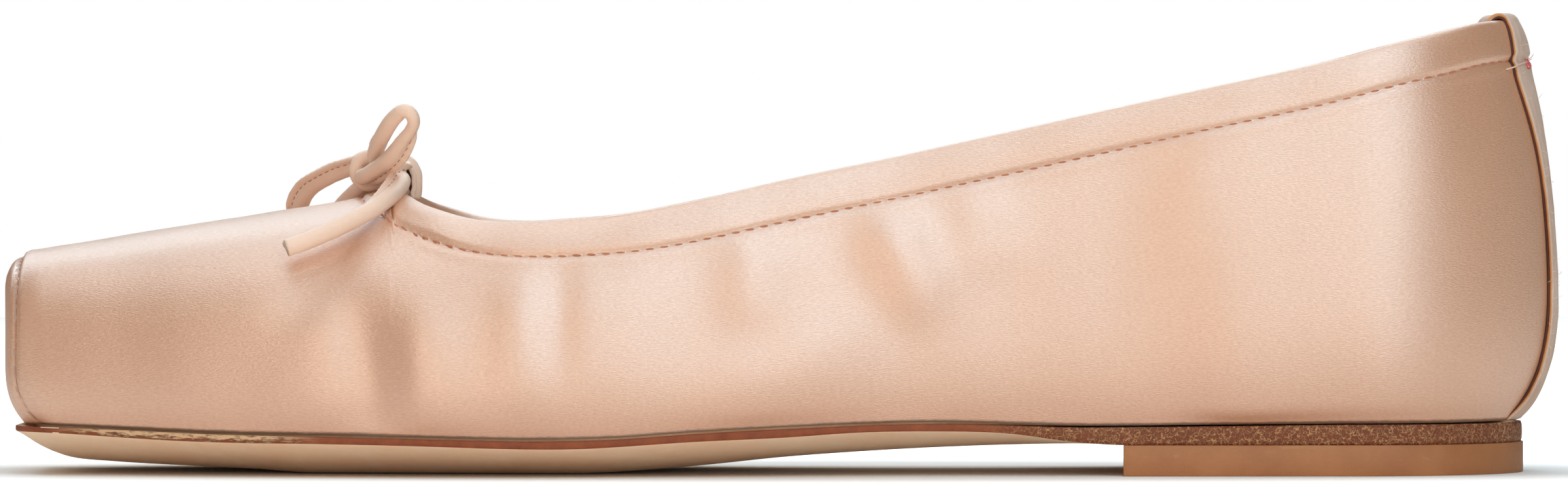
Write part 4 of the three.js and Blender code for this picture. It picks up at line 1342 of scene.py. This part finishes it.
def make_insole():
    front_x = SOLE_FRONT + SOLE_LIP + INSOLE_INSET

    def reach(plane):
        corner = corner_inset(plane.centre[0], front_x, SOLE_CORNER)
        return sole_half_width(plane) - SOLE_LIP - INSOLE_INSET - corner

    def under(plane, share):
        return sole_top(plane, share * reach(plane) / sole_half_width(plane)) + SEAT_GAP

    def top(plane, share):
        return under(plane, share) + INSOLE_THICKNESS

    section = plate_section(under, top, INSOLE_UNDER_SHARES, INSOLE_EDGE, INSOLE_TOP_SHARES)
    bm = bmesh.new()
    for side in (OUTER, INNER):
        add_grid(bm, plate_places(side, front_x, reach, section))
    close_up(bm, PLATE_PROBE, (0, 0, -1))
    finish_piece("leather_insole", bm, [LEATHER["lining_leather"]], ["insole"])


BREAST_SLANT = 2.4
LIFT_SIDE_STEPS = 24
LIFT_HEEL_STEPS = 30
LIFT_GAP = 0.02
LIFT_EASE = 0.15
LIFT_EDGE_ANGLE = 0.6


def make_heel_lift():
    """The lift's outline is a ring of points, filled, raised and eased along its edges."""
    outline = []
    for side in (OUTER, INNER):
        breast_x = HEEL_BREAST_X + (BREAST_SLANT if side == INNER else 0.0)
        shares = np.arange(LIFT_SIDE_STEPS) / LIFT_SIDE_STEPS
        planes = [side_plane(lerp(breast_x, HEEL_CENTRE_X, share), side) for share in shares]
        angles = np.linspace(0, math.pi / 2, LIFT_HEEL_STEPS + 1)
        planes += [heel_plane(angle, side) for angle in angles]
        rim = [rim_place(plane, sole_half_width(plane) + HEEL_FLARE) for plane in planes]
        outline += rim if side == OUTER else rim[-2::-1]
    bm = bmesh.new()
    ring = bmesh.ops.create_circle(bm, cap_ends=True, segments=len(outline), radius=1.0)["verts"]
    ring = sorted(ring, key=lambda vert: math.atan2(vert.co.y, vert.co.x))
    for vert, (x, y) in zip(ring, outline):
        vert.co = (x, y, 0.0)
    raised = bmesh.ops.extrude_face_region(bm, geom=list(bm.faces))["geom"]
    top = [item for item in raised if isinstance(item, bmesh.types.BMVert)]
    bmesh.ops.translate(bm, verts=top, vec=(0, 0, HEEL_HEIGHT - LIFT_GAP))
    bmesh.ops.recalc_face_normals(bm, faces=bm.faces)
    rims = [edge for edge in bm.edges if edge.calc_face_angle(0) > LIFT_EDGE_ANGLE]
    bmesh.ops.bevel(bm, geom=rims, offset=LIFT_EASE, segments=2, profile=0.5, affect="EDGES", material=-1)
    finish_piece("heel_stack", bm, [LEATHER["heel_leather"]], ["heel_lift"])


make_outsole()
make_insole()
make_heel_lift()


# Leather strip down the back, folded over the topline
STRIP_COLUMNS = 34
STRIP_CROWDING = 0.8
STRIP_ROWS = 126
STRIP_STEP = 0.5
STRIP_TURN = 0.6
STRIP_FAN = 21
STRIP_FOLD_STEPS = 14
STRIP_FOLD_RISE = 1.2
STRIP_GAP = 0.12
STRIP_LEATHER_THICKNESS = 0.5
# Thickness of the dark layer under the strip that paints the shadow along its edge
STRIP_SHADOW_LAYER_THICKNESS = 0.24
STRIP_INSIDE = 1.15
STRIP_FOOT = 0.3
STRIP_FOOT_EASE = 5.0
WALL_SAMPLES = 160
BACK_PROBE = (125, AXIS_SHIFT, 40)
# Height up the heel and the strip's half width there
STRIP_WIDTHS = [
    (0, 12.4), (9, 11.9), (12, 10.9), (16, 10.2), (25, 9.6), (33, 9.0), (42, 9.0), (50, 9.6), (55, 10.8),
    (60, 12.0), (66, 12.4), (69, 11.8), (72, 10.4), (80, 9.6),
]
strip_half_width = smooth_table(STRIP_WIDTHS)
# Relief along the strip's edges: height, distance from the edge and width
STRIP_RELIEF = [(0.1, 2.3, 0.6), (-0.16, 1.5, 0.35), (-0.2, 0.0, 0.3)]
# Unevenness of the strip's edges and of its face: height, turns per row, turns across and a shift
STRIP_WOBBLE = [(1.0, 0.09, 4.0, 0.0), (0.5, 0.45, 4.0, 5.0)]
STRIP_FACE = [(0.08, 0.16, 9.0, 7.0)]


def heel_wall(turn):
    """The satin's wall in the heel plane this far round from the back: (reach, height) pairs, their distances
    up from the foot and their outward directions."""
    plane = heel_plane(math.pi / 2 - abs(turn), OUTER)
    top_bend = heel_top_bend(plane, HEEL_CENTRE_X + HEEL_BACK_RADIUS * math.cos(turn))
    wall = np.array([profile_point(plane, top_bend * share)[:2] for share in np.linspace(0, 1, WALL_SAMPLES)])
    wall[:, 1] += plane.edge
    slope = unit(np.gradient(wall, axis=0))
    return wall, reached_along(wall), np.stack([slope[:, 1], -slope[:, 0]], axis=1)


def strip_column(turn, depth):
    """A layer's line up the outside, over the topline and down the inside, `depth` above the satin."""
    wall, reached, outward = heel_wall(turn)

    def along(distance, offset):
        return points_at(wall, reached, distance) + points_at(outward, reached, distance) * offset

    length = reached[-1]
    top = length - FOLD_RADIUS
    line = []
    for distance in np.linspace(STRIP_FOOT, top, STRIP_ROWS):
        ease = float(smoothstep(distance, -STRIP_FOOT_EASE / 2, STRIP_FOOT_EASE))
        line.append(along(distance, float(casing_height(length - distance)) + depth * ease))
    outside = line[-1]
    inside = along(top, -STRIP_INSIDE - depth)
    middle = (outside + inside) / 2
    arm = outside - middle
    for step in range(1, STRIP_FOLD_STEPS):
        angle = math.pi * step / STRIP_FOLD_STEPS
        across = arm[0] * math.cos(angle) - arm[1] * math.sin(angle)
        up = STRIP_FOLD_RISE * arm[0] * math.sin(angle) + arm[1] * math.cos(angle)
        line.append(middle + np.array([across, up]))
    turned_in = np.arange(0, STRIP_TURN_IN, STRIP_STEP)
    line += [along(top - distance, -STRIP_INSIDE - depth) for distance in turned_in]
    return np.array(line)


def waves(row, share, table):
    """Uneven waves at a row of the strip and a share of its half width."""
    return sum(height * noise.noise(Vector((row * along, share * across, shift)))
               for height, along, across, shift in table)


def strip_places(depth, widen, rough):
    """Places of a strip layer whose outer side lies this far above the satin."""
    fan = np.linspace(-STRIP_TURN, STRIP_TURN, STRIP_FAN)
    lines = np.array([strip_column(turn, depth) for turn in fan])
    middle_line = lines[STRIP_FAN // 2]
    places = np.zeros((STRIP_COLUMNS + 1, len(middle_line), 3))
    for row, (middle_reach, z) in enumerate(middle_line):
        width = strip_half_width(z)[0] + widen
        for column in range(STRIP_COLUMNS + 1):
            share = 2 * column / STRIP_COLUMNS - 1
            share = math.copysign(abs(share) ** STRIP_CROWDING, share)
            wobble = rough * waves(row, share, STRIP_WOBBLE)
            turn = math.asin((width + wobble) * share / middle_reach)
            relief = ridges(width * (1 - abs(share)), STRIP_RELIEF) + waves(row, share, STRIP_FACE)
            reach = np.interp(turn, fan, lines[:, row, 0]) + relief
            x = HEEL_CENTRE_X + math.cos(turn) * reach
            y = AXIS_SHIFT + math.sin(turn) * reach
            places[column, row] = (x, y, np.interp(turn, fan, lines[:, row, 1]))
    return places


def strip_spot(turn, z, depth):
    """A place this far above the satin at the heel, at a turn from the back and a height."""
    wall, reached, _ = heel_wall(turn)
    below = reached[-1] - np.interp(z, wall[:, 1], reached)
    reach = np.interp(z, wall[:, 1], wall[:, 0]) + float(casing_height(below)) + depth
    return HEEL_CENTRE_X + math.cos(turn) * reach, AXIS_SHIFT + math.sin(turn) * reach, z


SHADOW_LAYER_DEPTH = STRIP_GAP + STRIP_SHADOW_LAYER_THICKNESS
STRIP_DEPTH = SHADOW_LAYER_DEPTH + STRIP_LEATHER_THICKNESS
# Layers of the strip: name, height above the satin, thickness, widening, roughness of the edge, materials,
# and the node that it replaces
STRIP_LAYERS = [
    ("leather_back_strip", STRIP_DEPTH, STRIP_LEATHER_THICKNESS, 0.0, 0.12, ("strip_leather", "strip_edge"),
     ["back_strip"]),
    # The dark layer under the strip paints the shadow in the gap along the strip's edge
    ("back_strip_shadow_layer", SHADOW_LAYER_DEPTH, STRIP_SHADOW_LAYER_THICKNESS, 0.08, 0.1, ("strip_shadow_layer",), []),
]


def make_back_strip():
    """The pale leather with its stained cut edge and, under it, a dark layer that paints the shadow in the
    gap under the strip's edge.
    """
    for name, depth, thickness, widen, rough, materials, replaced in STRIP_LAYERS:
        bm = bmesh.new()
        add_grid(bm, strip_places(depth, widen, rough))
        close_up(bm, BACK_PROBE, (1, 0, 0))
        leathers = [LEATHER[material] for material in materials]
        piece = finish_piece(name, bm, leathers, replaced)
        solidify(piece, thickness, len(materials) - 1)


make_back_strip()


# Thread ends, the tack on the strip and the fibres of its raw edges
THREAD_REACH = 0.0005
THREAD_PARTS = np.linspace(0, 1, 5)
RING_LEAN = (0.3, 0.5, 0.81)
TACK_HEIGHT = 65.2
TACK_TURNS = (-0.27, -0.255, -0.24, -0.226, -0.212, -0.198, -0.184)
TACK_HALF = 0.85
TACK_RADIUS = 0.2
# One turn of the tack: turn, share of its half height, lift
TACK_ARCH = [
    (-0.006, -1.0, 0.02), (-0.003, -0.5, 0.16), (0.0, 0.0, 0.2), (0.003, 0.5, 0.16), (0.006, 1.0, 0.02),
]
# Loose thread: turn, height above the tack's middle, lift
LOOSE_END = [
    (-0.53, -1.0, -0.75), (-0.5, -0.8, -0.3), (-0.47, -0.55, 0.12), (-0.42, -0.25, 0.16), (-0.36, 0.0, 0.2),
    (-0.3, 0.15, 0.22), (-0.25, 0.1, 0.1),
]
LOOSE_STEP = 0.3
LOOSE_RADIUS = 0.13
# Tufts: turn and height of their start and of their end
TUFTS = [
    (-0.25, 0.4, -0.29, 1.2), (-0.25, -0.2, -0.3, -0.6), (-0.245, 0.0, -0.3, 0.3), (-0.18, 0.5, -0.12, 1.7),
    (-0.18, 0.2, -0.13, 0.9),
]
TUFT_LIFT = 0.08
TUFT_RISE = 0.5
TUFT_RADIUS = 0.07
FIBRE_SEED = 11
FIBRE_COUNT = 110
FIBRE_RADIUS = 0.035
FIBRE_HEIGHTS = (9.5, 72.0)
FIBRE_LENGTHS = (0.5, 1.7)
FIBRE_EDGE = 0.97
FIBRE_SINK = 0.12
FIBRE_OUT = 0.8
FIBRE_DRIFT = 0.6
FIBRE_CURL = 0.7
FIBRE_BEND = 0.4


def add_thread(bm, line, radius, sides=6):
    """A thin round thread along a line, closed to a point at both ends."""
    line = np.array(line, float)
    along = unit(np.gradient(line, axis=0))
    first = unit(np.cross(along, np.array(RING_LEAN)))
    second = np.cross(along, first)
    angles = np.linspace(0, 2 * math.pi, sides + 1)
    swell = np.full(len(line), radius)
    swell[[0, -1]] = 0.0
    ring = first[:, None] * np.cos(angles)[None, :, None] + second[:, None] * np.sin(angles)[None, :, None]
    add_grid(bm, line[:, None] + ring * swell[:, None, None])


def tack_spot(turn, up, lift):
    return strip_spot(turn, TACK_HEIGHT + up, STRIP_DEPTH + lift)


def make_tack():
    """A small bar of thread that holds the strip, with pale thread ends about it."""
    bm = bmesh.new()
    for turn in TACK_TURNS:
        arch = [tack_spot(turn + shift, TACK_HALF * up, lift) for shift, up, lift in TACK_ARCH]
        add_thread(bm, arch, TACK_RADIUS)
    close_seams(bm, THREAD_REACH)
    finish_piece("strip_tack", bm, [LEATHER["tack_thread"]])
    bm = bmesh.new()
    add_thread(bm, smooth_curve([tack_spot(*spot) for spot in LOOSE_END], LOOSE_STEP), LOOSE_RADIUS)
    for turn, up, end_turn, end_up in TUFTS:
        line = []
        for part in THREAD_PARTS:
            lift = TUFT_LIFT + TUFT_RISE * part
            line.append(tack_spot(lerp(turn, end_turn, part), lerp(up, end_up, part), lift))
        add_thread(bm, line, TUFT_RADIUS)
    close_seams(bm, THREAD_REACH)
    finish_piece("strip_thread_ends", bm, [LEATHER["loose_thread"]])


def make_fibres():
    """Short pale hairs along the strip's raw edges, its fold and its back."""
    draw = np.random.default_rng(FIBRE_SEED)
    steps = THREAD_PARTS[:, None]
    bm = bmesh.new()
    for index in range(FIBRE_COUNT):
        z = lerp(*FIBRE_HEIGHTS, draw.random())
        edge = strip_half_width(z)[0] / HEEL_ROUND
        side = -1 if index % 2 else 1
        turn = side * edge * (FIBRE_EDGE if index % 3 else draw.random())
        start = np.array(strip_spot(turn, z, STRIP_DEPTH - FIBRE_SINK))
        away = np.array([math.cos(turn), math.sin(turn), 0.0])
        drift = draw.normal(0, FIBRE_DRIFT, 3)
        curl = draw.normal(0, FIBRE_CURL, 3)
        length = lerp(*FIBRE_LENGTHS, draw.random() ** 2)
        lean = unit(away * FIBRE_OUT + drift)
        add_thread(bm, start + length * steps * lean + length * steps**2 * curl * FIBRE_BEND, FIBRE_RADIUS, 3)
    close_seams(bm, THREAD_REACH)
    finish_piece("strip_fibres", bm, [LEATHER["strip_fibre"]])


make_tack()
make_fibres()


# Floor, light and world
WHITE = (1.0, 1.0, 1.0, 1.0)
BLACK = (0.0, 0.0, 0.0, 1.0)
FLOOR_RADIUS = 1.6
FLOOR_SIDES = 96
FLOOR_DARK = (0.9, 0.93, 0.95, 1.0)
FLOOR_LIGHT = (0.92, 0.95, 0.97, 1.0)
FLOOR_BOUNCE = (0.9, 0.8, 0.72, 1.0)
FLOOR_ROUGHNESS = 0.9
FLOOR_SHINE = 0.1
FLOOR_SCALE = 3.0
FLOOR_GLOW = 0.6
FLOOR_GLOW_SHAPE = (0.33, 1.0, 0.0)
FLOOR_GLOW_FROM = 0.043
FLOOR_GLOW_TO = 0.075


def make_stage():
    bm = bmesh.new()
    bmesh.ops.create_circle(bm, cap_ends=True, segments=FLOOR_SIDES, radius=FLOOR_RADIUS)
    mesh = bpy.data.meshes.new("floor")
    bm.to_mesh(mesh)
    bm.free()
    material, net, finish = new_material("floor_white", Roughness=FLOOR_ROUGHNESS,
                                         Specular_IOR_Level=FLOOR_SHINE, Emission_Strength=FLOOR_GLOW)
    place = net.add("ShaderNodeTexCoord").outputs["Object"]
    seen = net.add("ShaderNodeLightPath").outputs["Is Camera Ray"]
    shade = net.mix(net.noise(place, FLOOR_SCALE, 2.0), FLOOR_DARK, FLOOR_LIGHT)
    net.feed(net.mix(seen, FLOOR_BOUNCE, shade), finish["Base Color"])
    drawn_in = net.mapped(place, FLOOR_GLOW_SHAPE)
    away = net.add("ShaderNodeVectorMath", {0: drawn_in}, operation="LENGTH").outputs["Value"]
    glow = net.add("ShaderNodeMapRange", {0: away, 1: FLOOR_GLOW_FROM, 2: FLOOR_GLOW_TO}).outputs[0]
    net.feed(net.mix(net.math("MULTIPLY", glow, seen), BLACK, WHITE), finish["Emission Color"])
    mesh.materials.append(material)
    floor = bpy.data.objects.new("floor", mesh)
    bpy.context.scene.collection.objects.link(floor)


AMBIENT = 0.05
LIGHT_AIM = (0.0, 0.0, 0.03)
# name, place, size, watts, colour: cool from high up and behind, warm from low down and the left
LIGHTS = [
    ("top_light", (-0.05, 0.1, 1.2), (1.6, 1.0), 9.4, (0.98, 0.98, 0.95)),
    ("back_light", (-0.2, 1.2, 0.9), (1.8, 0.6), 11.5, (0.8, 0.94, 1.0)),
    ("high_front_light", (0.28, -1.0, 1.1), (0.8, 0.6), 5.3, (0.8, 0.95, 1.0)),
    ("right_front_light", (0.6, -1.2, 0.5), (0.75, 1.0), 3.0, (0.86, 0.97, 1.0)),
    ("left_front_light", (-0.5, -1.3, 0.5), (0.5, 1.0), 2.8, (1.0, 0.74, 0.57)),
    ("low_front_light", (0.0, -1.3, 0.13), (1.0, 0.2), 2.3, (1.0, 0.76, 0.58)),
    ("low_right_light", (0.7, -1.2, 0.12), (0.6, 0.2), 0.9, (1.0, 0.9, 0.82)),
    ("left_light", (-1.3, -0.4, 0.5), (0.6, 1.0), 1.0, (1.0, 0.8, 0.62)),
]


def make_light():
    world = bpy.data.worlds.new("studio")
    bpy.context.scene.world = world
    world.use_nodes = True
    net = Net(world.node_tree)
    background = world.node_tree.nodes["Background"].inputs
    seen = net.add("ShaderNodeLightPath").outputs["Is Camera Ray"]
    net.feed(net.math("MULTIPLY_ADD", seen, 1.0 - AMBIENT, AMBIENT), background["Strength"])
    net.feed(WHITE, background["Color"])
    for name, place, size, power, colour in LIGHTS:
        light = bpy.data.lights.new(name, "AREA")
        light.shape = "RECTANGLE"
        light.size, light.size_y = size
        light.energy = power
        light.color = colour
        stand(name, light, place, LIGHT_AIM)
    bpy.context.scene.view_settings.view_transform = "Standard"


make_stage()
make_light()
